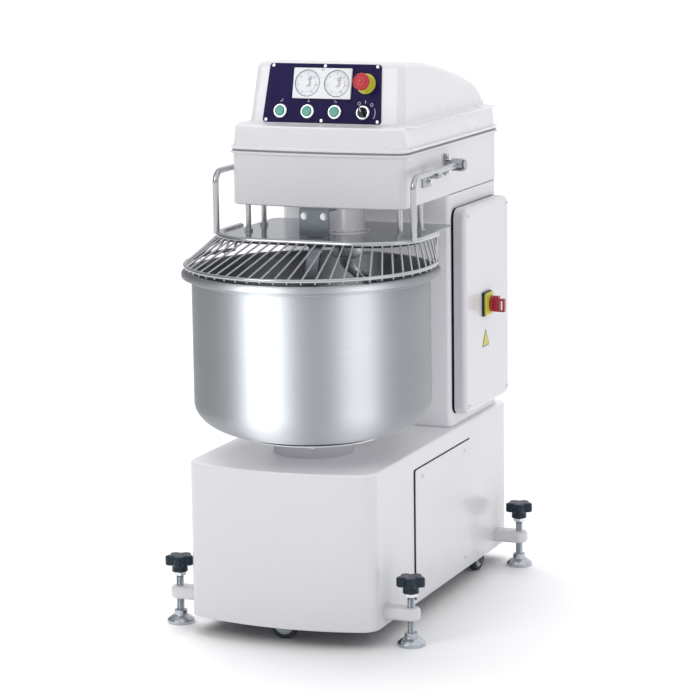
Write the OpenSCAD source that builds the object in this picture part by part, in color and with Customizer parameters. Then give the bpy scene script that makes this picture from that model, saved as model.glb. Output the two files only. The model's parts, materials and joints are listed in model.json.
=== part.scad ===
// Floor-standing spiral dough mixer: a turning bowl on a wide base, a column behind it and a
// drive head above, with a spiral tool, a breaker bar and a hinged wire guard over the bowl.
// Millimetres. +Z is up, +X is to the right of a person facing the machine, the front faces -Y.
// The origin lies on the floor, in the middle of the machine's footprint.

/* [Base] */
// Half the width of the base
base_half_w = 256; // [240:1:270]
// Middle of the bowed front of the base
base_front_y = -496; // [-510:1:-470]
// Rear wall of the base
base_rear_y = 557; // [540:1:580]
// Lower edge of the base
base_bottom_z = 47; // [44:1:60]
// Top of the base
base_top_z = 451; // [440:1:460]
// How far the front of the base is bowed forward
base_bow = 44; // [20:1:60]
// Thickness of the sheet steel
sheet = 3; // [2:0.5:5]

/* [Column] */
// Half the width of the column
column_half_w = 242.6; // [230:0.2:250]
// Front wall of the column
column_front_y = 148; // [140:1:160]
// Rear wall of the column
column_rear_y = 511; // [500:1:520]

/* [Head] */
// Half the width of the drive head
head_half_w = 241; // [236:1:246]
// Middle of the bowed front of the head
head_front_y = -201; // [-210:1:-195]
// Rear wall of the head
head_rear_y = 519; // [515:1:525]
// How far the front of the head is bowed forward
head_bow = 20; // [10:1:30]
// Underside of the head, which is also the top of the column
head_bottom_z = 1078; // [1074:1:1082]
// Top of the head's walls
head_top_z = 1217; // [1212:1:1222]
// How far the rim stands out from the head
rim_out = 7.5; // [5:0.5:10]

/* [Top cover] */
// Height at which the cover's skirt ends
skirt_top_z = 1284; // [1275:1:1295]
// Highest point of the cover
cover_top_z = 1440; // [1430:1:1450]
// Half the width of the console at its foot
console_half_w = 216; // [205:1:222]
// Lower front edge of the sloping console face
console_front_y = -120; // [-130:1:-110]
// Lean of the console face from upright, in degrees
console_lean = 14; // [8:1:20]
// Wall of the moulded cover
cover_wall = 5; // [4:0.5:8]

/* [Control panel] */
// Width of the panel
panel_w = 320; // [300:1:330]
// Height of the panel
panel_h = 154; // [140:1:156]
// Middle of the panel across the machine
panel_x = -10; // [-15:1:15]
// Radius of the round bezels
bezel_r = 19; // [15:0.5:20]
// Travel of a push button
button_travel = 4; // [2:0.5:5]

/* [Bowl] */
// Radius of the bowl's wall, outside
bowl_r = 306; // [300:1:310]
// Radius of the rolled rim, outside
rim_r = 332; // [326:1:334]
// Bowl axis, front to back
bowl_y = -225; // [-230:1:-220]
// Underside of the bowl
bowl_bottom_z = 505; // [500:1:510]
// Top of the rim
bowl_top_z = 927; // [910:1:930]
// Radius of the flat part of the bowl's bottom
bowl_flat_r = 165; // [150:1:180]
// Wall of the bowl
bowl_wall = 3; // [2:0.5:4]

/* [Spiral drive] */
// Spiral axis, across
spiral_x = 40; // [30:1:50]
// Spiral axis, front to back
spiral_y = -80; // [-90:1:-75]
// Radius of the spiral's middle line
spiral_r = 102; // [90:1:104]
// Thickness of the spiral's bar
spiral_bar_d = 30; // [24:1:34]
// Underside of the spiral's middle line at its lowest
spiral_low_z = 545; // [542:1:560]
// Radius of the pulley on the spiral's shaft
spiral_pulley_r = 95; // [80:1:98]
// Radius of the countershaft's small pulley
counter_small_r = 38; // [34:1:42]
// Radius of the countershaft's large pulley
counter_large_r = 105; // [95:1:110]
// Radius of the pulley on the spiral motor
motor_pulley_r = 40; // [34:1:44]

/* [Bowl drive] */
// Radius of the pulley on the bowl's shaft
bowl_pulley_r = 168; // [150:1:172]
// Radius of the pulley on the bowl motor
bowl_motor_pulley_r = 42; // [36:1:46]
// Height of the bowl drive's belt
bowl_belt_z = 240; // [225:1:250]

/* [Splash plate and guard] */
// Half the width of the fixed splash plate
plate_half_w = 256; // [250:1:258]
// Top of the splash plate
plate_top_z = 1003; // [1000:1:1008]
// Half the width between the guard's arms
arm_x = 277; // [274:1:282]
// Diameter of the guard's tube
tube_d = 16; // [14:1:18]
// Guard hinge, front to back
hinge_y = 118; // [110:1:125]
// Guard hinge height
hinge_z = 1163; // [1158:1:1168]
// Height of the guard's inner frame
guard_frame_z = 1002; // [998:1:1006]
// Radius of the guard's outer ring
guard_ring_r = 322; // [315:1:324]
// Height of the guard's outer ring
guard_ring_z = 942; // [936:1:946]
// Number of gaps between the guard's wires
wire_gaps = 38; // [30:2:44]
// Diameter of a guard wire
wire_d = 5; // [4:0.5:6]

/* [Feet and castors] */
// Feet, across
foot_x = 322; // [320:1:324]
// Front feet, front to back
foot_front_y = -371; // [-380:1:-360]
// Rear feet, front to back
foot_rear_y = 472; // [460:1:480]
// Radius of a foot's pad
pad_r = 36; // [35:1:40]
// Radius of a levelling screw
screw_r = 9.95; // [9.95:0.01:9.98]
// Radius of a castor wheel
castor_r = 37.5; // [37:0.5:38]

/* [Hidden] */
$fn = 48;

running = 0.05;         // radial clearance of a shaft in its bearing
corner_steps = 8;
bow_steps = 16;
hole_r = 10;            // threaded hole of a foot lug

motor_y = 385;
counter_y = 165;
lower_belt_z = 1133;    // middle of the belt to the spiral
upper_belt_z = 1175;    // middle of the belt from the motor
belt_w = 24;
belt_gap = 0.6;
belt_t = 8;

panel_t = 3;
panel_flare = 5.2;      // how much wider each half of the panel is at its foot than midway
console_run = (cover_top_z - skirt_top_z) * tan(console_lean);
panel_mid = [panel_x, console_front_y + console_run / 2, (cover_top_z + skirt_top_z) / 2];

timer_w = 162;
timer_h = 80;
timer_u = -3;
timer_v = 25;
timer_t = 7;
dial_u = 40.8;
button_u = [-115.5, -39.5, 36.5];
button_v = -48;
selector_u = 114.5;
// Angles of the controls at rest: the selector to the left, the timers' pointers to the right
selector_rest = 20;
pointer_rest = 30;
estop_u = 116;
estop_v = 27;
estop_ring_r = 26.5;
estop_head_w = 31;      // underside of the red head above the back of the panel

gear_mid_y = 329;       // middle of the switchgear cover, front to back
gear_mid_z = 762.5;
gear_half_y = 175;
gear_half_z = 277.5;
gear_out_x = 283;
isolator_y = 312;
isolator_z = 766;

rear_wheel_x = 225;
rear_wheel_y = 385;
front_wheel = [-6, -415];
swivel_x = 18;

lug_low_z = 66;
lug_high_z = 99;
lug_end_r = 24;
rail_low_z = 100;
rail_high_z = 140;

housing_r = 48;
collar_r = 105;
rod_spots = [[212, -139], [222, -18]];
bar_y = -190;           // breaker bar where it hangs from the head
bracket_bolt_z = 1057;
frame_corner_r = 150;
frame_front_y = -300;
frame_end_y = -45;
ring_end_a = 28;        // how far past sideways the guard's ring runs, in degrees

// ---------------------------------------------------------------- outlines and plain helpers

// Points of an arc; last = false leaves the final point to the next stretch
function arc(cx, cy, r, a0, a1, steps, last = true) =
    [for (i = [0 : last ? steps : steps - 1])
        let (a = a0 + (a1 - a0) * i / steps) [cx + r * cos(a), cy + r * sin(a)]];

// Plan of a housing: a bowed front, filleted front corners and rounded rear corners
function plan_points(half_w, front_y, rear_y, bow, front_r, rear_r) =
    let (bow_r = (half_w * half_w + bow * bow) / (2 * bow),
         bow_y = front_y + bow_r,
         fx = half_w - front_r,
         fy = bow_y - sqrt(pow(bow_r - front_r, 2) - fx * fx),
         meet = atan2(fy - bow_y, fx))
    concat(
        arc(0, bow_y, bow_r, -180 - meet, meet, bow_steps, false),
        arc(fx, fy, front_r, meet, 0, corner_steps),
        arc(half_w - rear_r, rear_y - rear_r, rear_r, 0, 90, corner_steps),
        arc(rear_r - half_w, rear_y - rear_r, rear_r, 90, 180, corner_steps),
        arc(-fx, fy, front_r, 180, 180 - meet, corner_steps, false));

module plan(half_w, front_y, rear_y, bow, front_r, rear_r) {
    polygon(plan_points(half_w, front_y, rear_y, bow, front_r, rear_r));
}

// Flat rectangle with rounded corners; with a flare, each half is that much wider at its foot
module soft_rect(w, h, r, flare = 0, steps = 6) {
    polygon(concat(
        arc(w / 2 - flare - r, h / 2 - r, r, 0, 90, steps),
        arc(r + flare - w / 2, h / 2 - r, r, 90, 180, steps),
        arc(r - flare - w / 2, r - h / 2, r, 180, 270, steps),
        arc(w / 2 + flare - r, r - h / 2, r, 270, 360, steps)));
}

// Box given by its lowest and highest corners
module block(low, high) {
    translate(low)
        cube(high - low);
}

// Round bar from p to q
module bar(p, q, r) {
    d = q - p;
    translate(p)
        rotate([0, acos(d[2] / norm(d)), atan2(d[1], d[0])])
            cylinder(r = r, h = norm(d));
}

// Everything drawn in the panel's own frame: u across, v up the face, w out of it
module on_panel(u = 0, v = 0, w = 0) {
    translate(panel_mid)
        rotate([90 - console_lean, 0, 0])
            translate([u, v, w])
                children();
}

// Everything drawn on the right-hand side: u towards the rear, v up, w out to +X
module on_side(x, y = 0, z = 0) {
    translate([x, y, z])
        rotate([90, 0, 90])
            children();
}

module on_both_sides() {
    children();
    mirror([1, 0, 0])
        children();
}

// Hexagon bolt head with a washer, standing on the XY plane
module hex_head(r = 8, h = 6) {
    cylinder(r = r * 1.3, h = 1.5);
    translate([0, 0, 1.5])
        cylinder(r = r, h = h, $fn = 6);
}

// Pan head of a small screw
module pan_head(r = 5, h = 2.5) {
    difference() {
        cylinder(r = r, h = h);
        translate([-0.6, -r * 0.7, h - 1.2])
            cube([1.2, r * 1.4, 2]);
        translate([-r * 0.7, -0.6, h - 1.2])
            cube([r * 1.4, 1.2, 2]);
    }
}

// Outline that wraps two round pulleys
module wrap(c1, r1, c2, r2) {
    d = c2 - c1;
    lie = atan2(d[1], d[0]);
    touch = acos((r1 - r2) / norm(d));
    polygon(concat(
        arc(c1[0], c1[1], r1, lie + touch, lie - touch + 360, 40),
        arc(c2[0], c2[1], r2, lie - touch, lie + touch, 20)));
}

module belt(c1, r1, c2, r2, z) {
    translate([0, 0, z - belt_w / 2])
        linear_extrude(belt_w)
            difference() {
                wrap(c1, r1 + belt_gap + belt_t, c2, r2 + belt_gap + belt_t);
                wrap(c1, r1 + belt_gap, c2, r2 + belt_gap);
            }
}

// Pulley with a flange on each side of the belt, a web and a bore
module pulley(r, bore_r, z, hub_r = 0) {
    side = 4;
    flange = 5;
    translate([0, 0, z])
        difference() {
            union() {
                cylinder(r = r, h = belt_w + 4, center = true, $fn = 96);
                for (s = [-1, 1])
                    translate([0, 0, s * (belt_w / 2 + 1 + side / 2)])
                        cylinder(r = r + flange, h = side, center = true, $fn = 96);
            }
            cylinder(r = bore_r, h = belt_w + 40, center = true);
            if (hub_r > 0)
                for (s = [-1, 1])
                    translate([0, 0, s * (belt_w / 2 + 1)])
                        difference() {
                            cylinder(r = r - 12, h = belt_w, center = true, $fn = 96);
                            cylinder(r = hub_r, h = belt_w + 1, center = true);
                        }
        }
}

// ---------------------------------------------------------------- base

module base_shell() {
    color("ghostwhite")
        difference() {
            translate([0, 0, base_bottom_z])
                linear_extrude(base_top_z - base_bottom_z)
                    plan(base_half_w, base_front_y, base_rear_y, base_bow, 48, 25);
            translate([0, 0, base_bottom_z - sheet])
                linear_extrude(base_top_z - base_bottom_z)
                    plan(base_half_w - sheet, base_front_y + sheet, base_rear_y - sheet,
                         base_bow, 45, 22);
            translate([0, bowl_y, base_top_z - 10])
                cylinder(r = 62, h = 20);
            block([-200, column_front_y + 30, base_top_z - 10], [200, column_rear_y - 30, base_top_z + 5]);
            block([base_half_w - 8, -146, 78], [base_half_w + 8, 232, 382]);
        }
}

module access_panel() {
    color("ghostwhite")
        on_side(base_half_w, 43, 230)
            linear_extrude(sheet)
                soft_rect(418, 344, 8);
}

// Fork and axle of a fixed castor, standing under a rail with its wheel at the origin
module fixed_fork() {
    for (s = [-1, 1])
        translate([s * 17 - 2, -16, -14])
            cube([4, 32, rail_low_z - castor_r + 14]);
    rotate([0, 90, 0])
        cylinder(r = 6, h = 44, center = true);
}

module chassis_frame() {
    color("dimgray")
        difference() {
            union() {
                on_both_sides()
                    block([200, -380, rail_low_z], [base_half_w - sheet, 530, rail_high_z]);
                for (y = [-440, 60, 470])
                    block([-200, y, rail_low_z], [200, y + 50, rail_high_z]);
                block([-200, 215, 290], [200, 345, 300]);
                on_both_sides()
                    for (y = [215, 335])
                        block([200, y, rail_high_z], [210, y + 10, 300]);
                on_both_sides()
                    translate([rear_wheel_x, rear_wheel_y, castor_r])
                        fixed_fork();
                on_both_sides()
                    block([200, -440, rail_low_z], [212, -380, rail_high_z]);
            }
            translate([swivel_x, front_wheel[1], rail_low_z - 5])
                cylinder(r = 8 + running, h = 60);
            translate([0, 270, 280])
                cylinder(r = 20, h = 40);
        }
}

module foot_lug() {
    difference() {
        linear_extrude(lug_high_z - lug_low_z) {
            circle(r = lug_end_r);
            translate([base_half_w - foot_x, -lug_end_r])
                square([foot_x - base_half_w, 2 * lug_end_r]);
        }
        translate([0, 0, -1])
            cylinder(r = hole_r, h = 60);
    }
}

module foot_lugs() {
    color("ghostwhite")
        on_both_sides()
            for (y = [foot_front_y, foot_rear_y])
                translate([foot_x, y, lug_low_z])
                    foot_lug();
}

// ---------------------------------------------------------------- column

module column_shell() {
    height = head_bottom_z - base_top_z;
    mid_y = (column_front_y + column_rear_y) / 2;
    deep = column_rear_y - column_front_y;
    color("ghostwhite") {
        difference() {
            translate([0, mid_y, base_top_z])
                linear_extrude(height)
                    soft_rect(2 * column_half_w, deep, 14);
            translate([0, mid_y, base_top_z - 1])
                linear_extrude(height + 2)
                    soft_rect(2 * (column_half_w - sheet), deep - 2 * sheet, 11);
            block([-200, column_rear_y - 8, 490], [200, column_rear_y + 8, 1035]);
            block([column_half_w - 8, 205, 535], [column_half_w + 8, 450, 990]);
        }
        difference() {
            block([sheet - column_half_w, motor_y - 110, 1006], [column_half_w - sheet, motor_y + 110, 1016]);
            translate([0, motor_y, 1000])
                cylinder(r = 45, h = 30);
        }
    }
}

module rear_cover() {
    color("ghostwhite")
        translate([0, column_rear_y + sheet, 762])
            rotate([90, 0, 0])
                linear_extrude(sheet)
                    difference() {
                        soft_rect(430, 574, 10);
                        for (i = [0 : 7])
                            translate([0, -190 + 18 * i])
                                soft_rect(180, 6, 2.9);
                    }
}

module cable_gland() {
    color("dimgray")
        translate([-150, column_rear_y + sheet, 560])
            rotate([-90, 0, 0]) {
                cylinder(r = 15, h = 7, $fn = 6);
                difference() {
                    translate([0, 0, 7])
                        cylinder(r = 12, h = 17);
                    translate([0, 0, 10])
                        cylinder(r = 6, h = 20);
                }
            }
}

// ---------------------------------------------------------------- switchgear on the right side

module switchgear_cover() {
    inset = 16;
    color("ghostwhite")
        difference() {
            hull() {
                on_side(column_half_w, gear_mid_y, gear_mid_z)
                    linear_extrude(gear_out_x - column_half_w - inset)
                        soft_rect(2 * gear_half_y, 2 * gear_half_z, 26);
                on_side(column_half_w, gear_mid_y, gear_mid_z)
                    linear_extrude(gear_out_x - column_half_w)
                        soft_rect(2 * (gear_half_y - inset), 2 * (gear_half_z - inset), 16);
            }
            hull() {
                on_side(column_half_w - 1, gear_mid_y, gear_mid_z)
                    linear_extrude(gear_out_x - column_half_w - inset)
                        soft_rect(2 * gear_half_y - 6, 2 * gear_half_z - 6, 23);
                on_side(column_half_w - 1, gear_mid_y, gear_mid_z)
                    linear_extrude(gear_out_x - column_half_w - 2)
                        soft_rect(2 * (gear_half_y - inset) - 6, 2 * (gear_half_z - inset) - 6, 14);
            }
        }
}

// Plate with contactors and terminals behind the cover
module switchgear_plate() {
    back_x = column_half_w - sheet;
    color("silver") {
        block([back_x - 2, 195, 525], [back_x, 460, 1000]);
        for (z = [600, 700, 860])
            for (i = [0 : 2])
                block([back_x, 228 + 68 * i, z], [back_x + 33, 282 + 68 * i, z + 62]);
        block([back_x, 228, 945], [back_x + 15, 420, 965]);
    }
}

module isolator_base() {
    color("gold") {
        on_side(gear_out_x, isolator_y, isolator_z)
            difference() {
                union() {
                    linear_extrude(6)
                        soft_rect(66, 66, 6);
                    translate([0, 0, 6])
                        linear_extrude(6)
                            soft_rect(60, 60, 8);
                    translate([0, 0, 12])
                        cylinder(r = 25, h = 4);
                }
                translate([0, 0, 3])
                    cylinder(r = 6 + running, h = 20);
            }
    }
}

module isolator_handle() {
    color("red")
        on_side(gear_out_x, isolator_y, isolator_z) {
            translate([0, 0, 3.5])
                cylinder(r = 6, h = 15);
            translate([0, 0, 16.4])
                difference() {
                    cylinder(r = 22, h = 38);
                    for (s = [-1, 1])
                        translate([s * 19, 0, 24])
                            cube([24, 60, 32], center = true);
                }
        }
}

// ---------------------------------------------------------------- small screws

module cover_screws() {
    color("silver") {
        for (y = [-118, 204])
            for (z = [84, 378])
                on_side(base_half_w + sheet, y, z)
                    pan_head(6.5, 3);
        for (y = [gear_mid_y - gear_half_y + 22, gear_mid_y + gear_half_y - 22])
            for (z = [gear_mid_z - gear_half_z + 22, gear_mid_z + gear_half_z - 22])
                on_side(gear_out_x, y, z)
                    pan_head(7, 3);
        for (x = [-200, 200])
            for (z = [490, 762, 1034])
                translate([x, column_rear_y + sheet, z])
                    rotate([-90, 0, 0])
                        pan_head(6.5, 3);
        for (u = [-150, 0, 150])
            for (v = [-1, 1])
                on_panel(u - sign(u) * v * panel_flare, v * (panel_h / 2 - 6), panel_t)
                    pan_head(5, 2.5);
    }
}

// ---------------------------------------------------------------- head and top cover

module head_shell() {
    color("ghostwhite")
        difference() {
            union() {
                translate([0, 0, head_bottom_z])
                    linear_extrude(head_top_z - head_bottom_z)
                        plan(head_half_w, head_front_y, head_rear_y, head_bow, 30, 14);
                translate([0, 0, head_top_z - 7])
                    linear_extrude(7)
                        plan(head_half_w + rim_out, head_front_y - 3.6, head_rear_y + 10,
                             head_bow, 36, 20);
            }
            translate([0, 0, head_bottom_z + sheet])
                linear_extrude(head_top_z - head_bottom_z)
                    plan(head_half_w - sheet, head_front_y + sheet, head_rear_y - sheet,
                         head_bow, 27, 11);
            translate([spiral_x, spiral_y, head_bottom_z - 5])
                cylinder(r = housing_r, h = 20);
            block([-200, 215, head_bottom_z - 5], [200, 480, head_bottom_z + 10]);
        }
}

// Side view of the console: height of its crown at points from front to rear
crown = [[console_front_y, skirt_top_z], [console_front_y + console_run, cover_top_z],
         [60, cover_top_z - 6], [205, 1409], [322, 1384], [447, 1348], [505, 1288]];
cover_round = 15;

// The console's rounded body; a smaller ball gives its inside
module console_block(ball_r) {
    hull()
        for (i = [0 : len(crown) - 1])
            for (s = [-1, 1]) {
                p = crown[i];
                draft = (p[1] - skirt_top_z) * 0.075;
                z = p[1] - (i == 0 || i == len(crown) - 1 ? 6 : cover_round);
                y = i < 2 ? console_front_y + (z - skirt_top_z) * tan(console_lean)
                            + cover_round / cos(console_lean)
                  : i == len(crown) - 1 ? p[0] - cover_round : p[0];
                translate([s * (console_half_w - cover_round - draft), y, z])
                    sphere(r = ball_r, $fn = 32);
            }
}

module skirt_block(grow, top_z) {
    hull() {
        translate([0, 0, head_top_z + 5])
            linear_extrude(2)
                plan(head_half_w - 1 + grow, head_front_y + 2 - grow, head_rear_y - 1 + grow, head_bow, 34, 16);
        translate([0, 0, top_z - 16])
            linear_extrude(1)
                plan(head_half_w - 6 + grow, head_front_y + 7 - grow, head_rear_y - 6 + grow, head_bow, 32, 16);
        translate([0, 0, top_z - 5])
            linear_extrude(1)
                plan(head_half_w - 9 + grow, head_front_y + 10 - grow, head_rear_y - 9 + grow, head_bow, 30, 16);
        translate([0, 0, top_z - 1])
            linear_extrude(1)
                plan(head_half_w - 17 + grow, head_front_y + 18 - grow, head_rear_y - 17 + grow, head_bow, 26, 12);
    }
}

module top_cover() {
    color("white") {
        difference() {
            union() {
                skirt_block(0, skirt_top_z);
                console_block(cover_round);
            }
            translate([0, 0, -0.1])
                skirt_block(-cover_wall, skirt_top_z - cover_wall);
            console_block(cover_round - cover_wall);
            on_panel(0, 0, -12)
                linear_extrude(20)
                    soft_rect(panel_w - 28, panel_h - 26, 6);
        }
        translate([0, 0, head_top_z + 5])
            linear_extrude(8)
                difference() {
                    plan(head_half_w + rim_out, head_front_y - 3.6, head_rear_y + 10, head_bow, 36, 20);
                    plan(head_half_w - 6, head_front_y + 7, head_rear_y - 6, head_bow, 30, 12);
                }
    }
}

// ---------------------------------------------------------------- control panel

module control_panel() {
    color("midnightblue")
        on_panel()
            difference() {
                linear_extrude(panel_t)
                    soft_rect(panel_w, panel_h, 8, panel_flare);
                for (u = concat(button_u, [selector_u]))
                    translate([u, button_v, -1])
                        cylinder(r = 11.2, h = 6);
                translate([estop_u, estop_v, -1])
                    cylinder(r = 11.2, h = 6);
            }
}

module timer_housing() {
    color("whitesmoke")
        on_panel(timer_u, timer_v, panel_t)
            difference() {
                linear_extrude(timer_t)
                    soft_rect(timer_w, timer_h, 3);
                for (s = [-1, 1])
                    translate([s * dial_u, 0, timer_t - 1.5]) {
                        cylinder(r = 35, h = 5);
                        translate([0, 0, -4])
                            cylinder(r = 4 + running, h = 10);
                    }
            }
}

module timer_knob(side) {
    color("lightgray")
        on_panel(timer_u + side * dial_u, timer_v, panel_t + timer_t - 1.2) {
            cylinder(r = 22, h = 1.8);
            translate([0, 0, -3.5])
                cylinder(r = 4, h = 5);
            cylinder(r = 8, h = 10);
            rotate([0, 0, -pointer_rest])
                translate([-2, -4, 0])
                    cube([4, 24, 8]);
        }
}

module timer_knob_left() {
    timer_knob(-1);
}

module timer_knob_right() {
    timer_knob(1);
}

// Threaded collars of the round controls, with their faces
module pilot_collars() {
    color("silver") {
        for (u = concat(button_u, [selector_u]))
            on_panel(u, button_v, 0)
                difference() {
                    union() {
                        translate([0, 0, panel_t])
                            cylinder(r = bezel_r, h = 7);
                        translate([0, 0, -14])
                            cylinder(r = 11, h = 14 + panel_t);
                    }
                    translate([0, 0, -20])
                        cylinder(r = 9, h = 40);
                    translate([0, 0, panel_t + 2])
                        cylinder(r = 13.4, h = 10);
                }
        on_panel(estop_u, estop_v, 0)
            difference() {
                union() {
                    translate([0, 0, panel_t])
                        cylinder(r = estop_ring_r, h = 2.5);
                    translate([0, 0, panel_t])
                        cylinder(r = 15, h = 18);
                    translate([0, 0, -14])
                        cylinder(r = 11, h = 14 + panel_t);
                }
                translate([0, 0, -20])
                    cylinder(r = 9, h = 50);
            }
    }
}

// Contact blocks clipped on behind the panel
module switch_blocks() {
    color("darkslategray") {
        for (u = concat(button_u, [selector_u]))
            on_panel(u, button_v, -46)
                block([-15, -18, 0], [15, 18, 31]);
        on_panel(estop_u, estop_v, -46)
            block([-15, -18, 0], [15, 18, 31]);
        on_panel(timer_u, timer_v, -40)
            block([-72, -34, 0], [72, 34, 39.5]);
    }
}

module push_button(u) {
    color("mediumseagreen")
        on_panel(u, button_v, 0) {
            translate([0, 0, panel_t + 2.2 + button_travel])
                cylinder(r = 13.1, h = 5);
            translate([0, 0, -9])
                cylinder(r = 9 - running, h = 20);
        }
}

module button_left() {
    push_button(button_u[0]);
}

module button_middle() {
    push_button(button_u[1]);
}

module button_right() {
    push_button(button_u[2]);
}

module estop_button() {
    color("crimson")
        on_panel(estop_u, estop_v, 0) {
            translate([0, 0, estop_head_w])
                rotate_extrude($fn = 64)
                    polygon(concat([[0, 0], [18.4, 0], [22.5, 3]], arc(14.5, 6, 8, 0, 72, 6),
                                   arc(0, -29.2, 46, 68.5, 90, 4)));
            translate([0, 0, -6])
                cylinder(r = 9 - running, h = estop_head_w + 7);
        }
}

module selector_knob() {
    color("black")
        on_panel(selector_u, button_v, 0) {
            translate([0, 0, panel_t + 2.3]) {
                cylinder(r = 13.1, h = 6);
                rotate([0, 0, selector_rest])
                    linear_extrude(18)
                        soft_rect(9, 25, 3);
            }
            translate([0, 0, -9])
                cylinder(r = 9 - running, h = 15);
        }
}

// ---------------------------------------------------------------- spiral drive

module spindle_housing() {
    color("ghostwhite")
        translate([spiral_x, spiral_y, 0])
            difference() {
                union() {
                    translate([0, 0, plate_top_z])
                        cylinder(r = housing_r, h = head_bottom_z + sheet - plate_top_z);
                    translate([0, 0, head_bottom_z + sheet])
                        cylinder(r = 75, h = 10);
                    translate([0, 0, plate_top_z])
                        cylinder(r = 62, h = 5);
                }
                translate([0, 0, plate_top_z - 5])
                    cylinder(r = 36, h = 120);
            }
}

module ring_bearing(x, y, z, inner_r, outer_r, h) {
    translate([x, y, z])
        difference() {
            cylinder(r = outer_r, h = h);
            translate([0, 0, -1])
                cylinder(r = inner_r + running, h = h + 2);
        }
}

module shaft_bearings() {
    color("lightsteelblue") {
        for (z = [plate_top_z + 4, 1065])
            ring_bearing(spiral_x, spiral_y, z, 20, 36, 20);
        for (z = [330, 420])
            ring_bearing(0, bowl_y, z, 30, 55, 26);
        ring_bearing(0, counter_y, 1086, 15, 31, 18);
    }
}

module spiral_shaft() {
    color("silver")
        translate([spiral_x, spiral_y, 0]) {
            translate([0, 0, 988])
                cylinder(r = 20, h = 1162 - 988);
            translate([0, 0, 980])
                cylinder(r = 42, h = 12);
        }
}

module spiral_pulley() {
    color("slategray")
        translate([spiral_x, spiral_y, 0])
            pulley(spiral_pulley_r, 20, lower_belt_z, 34);
}

// Middle line of the spiral: it leaves the hub, widens and runs down in a helix
spiral_top_z = 948;
function spiral_path(u) =
    let (grow = 1 - pow(1 - min(1, u / 0.42), 2),
         tuck = u > 0.85 ? 1 - 0.2 * (u - 0.85) / 0.15 : 1,
         a = 150 - 430 * u)
    [spiral_x + spiral_r * grow * tuck * cos(a),
     spiral_y + spiral_r * grow * tuck * sin(a),
     spiral_top_z + (spiral_low_z - spiral_top_z) * u];

// Ring of points across the path at u
function spiral_ring(u, sides) =
    let (step = 0.002,
         p = spiral_path(u),
         ahead = spiral_path(min(1, u + step)) - spiral_path(max(0, u - step)),
         t = ahead / norm(ahead),
         a = 150 - 430 * u,
         out = [cos(a), sin(a), 0],
         n0 = out - (out * t) * t,
         n = n0 / norm(n0),
         b = cross(t, n))
    [for (k = [0 : sides - 1])
        p + spiral_bar_d / 2 * (cos(360 * k / sides) * n + sin(360 * k / sides) * b)];

module spiral_tool() {
    sides = 14;
    rings = 66;
    points = [for (i = [0 : rings]) each spiral_ring(i / rings, sides)];
    walls = [for (i = [0 : rings - 1], k = [0 : sides - 1])
        let (a = i * sides + k, b = i * sides + (k + 1) % sides)
        [a, a + sides, b + sides, b]];
    caps = [[for (k = [0 : sides - 1]) k], [for (k = [sides - 1 : -1 : 0]) rings * sides + k]];
    color("silver") {
        polyhedron(points = points, faces = concat(walls, caps), convexity = 8);
        translate([spiral_x, spiral_y, 940])
            cylinder(r = 42, h = 40);
    }
}

module countershaft_housing() {
    color("slategray")
        translate([0, counter_y, head_bottom_z + sheet])
            difference() {
                union() {
                    cylinder(r = 46, h = 5);
                    cylinder(r = 37, h = 27);
                }
                translate([0, 0, 5])
                    cylinder(r = 31, h = 40);
                translate([0, 0, 3])
                    cylinder(r = 17, h = 40);
            }
}

module countershaft() {
    color("slategray")
        translate([0, counter_y, 0]) {
            translate([0, 0, 1086])
                cylinder(r = 15, h = 110);
            pulley(counter_small_r, 14, lower_belt_z);
            pulley(counter_large_r, 14, upper_belt_z, 28);
        }
}

module motor_pulley() {
    color("slategray")
        translate([0, motor_y, 0]) {
            pulley(motor_pulley_r, 13, upper_belt_z);
            translate([0, 0, 1010])
                cylinder(r = 14, h = 185);
        }
}

// Motor body with cooling ribs, standing on the XY plane
module motor_body(r, h) {
    ribs = 24;
    cylinder(r = r - 8, h = h);
    for (i = [0 : ribs - 1])
        rotate([0, 0, i * 360 / ribs])
            translate([0, -1.5, 20])
                cube([r, 3, h - 50]);
    translate([0, 0, h - 16])
        cylinder(r = r + 6, h = 16);
    cylinder(r = r, h = 24);
}

module spiral_motor() {
    color("steelblue")
        translate([0, motor_y, 700]) {
            motor_body(84, 306);
            translate([78, -40, 120])
                cube([40, 80, 90]);
        }
}

module drive_belts() {
    color("black") {
        belt([0, bowl_y], bowl_pulley_r, [0, 270], bowl_motor_pulley_r, bowl_belt_z);
        belt([spiral_x, spiral_y], spiral_pulley_r, [0, counter_y], counter_small_r, lower_belt_z);
        belt([0, counter_y], counter_large_r, [0, motor_y], motor_pulley_r, upper_belt_z);
    }
}

// ---------------------------------------------------------------- bowl and its drive

module bowl_bearing_housing() {
    color("ghostwhite")
        translate([0, bowl_y, 0])
            difference() {
                union() {
                    translate([0, 0, base_top_z])
                        cylinder(r = collar_r, h = 37, $fn = 96);
                    translate([0, 0, 310])
                        cylinder(r = 62, h = 142);
                }
                translate([0, 0, 300])
                    cylinder(r = 55, h = 200);
            }
}

module bowl_hub() {
    color("silver")
        translate([0, bowl_y, 0]) {
            translate([0, 0, 210])
                cylinder(r = 30, h = 290);
            translate([0, 0, 490])
                cylinder(r = 70, h = 8);
            translate([0, 0, bowl_bottom_z - 9])
                cylinder(r = 182, h = 9, $fn = 96);
            for (i = [0 : 7])
                rotate([0, 0, 22.5 + 45 * i])
                    translate([166, 0, bowl_bottom_z - 9])
                        mirror([0, 0, 1])
                            hex_head(5, 4);
        }
}

module bowl_pulley() {
    color("slategray")
        translate([0, bowl_y, 0])
            pulley(bowl_pulley_r, 30, bowl_belt_z, 50);
}

module bowl_motor_pulley() {
    color("slategray")
        translate([0, 270, 0]) {
            pulley(bowl_motor_pulley_r, 13, bowl_belt_z);
            translate([0, 0, 220])
                cylinder(r = 14, h = 76);
        }
}

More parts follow.
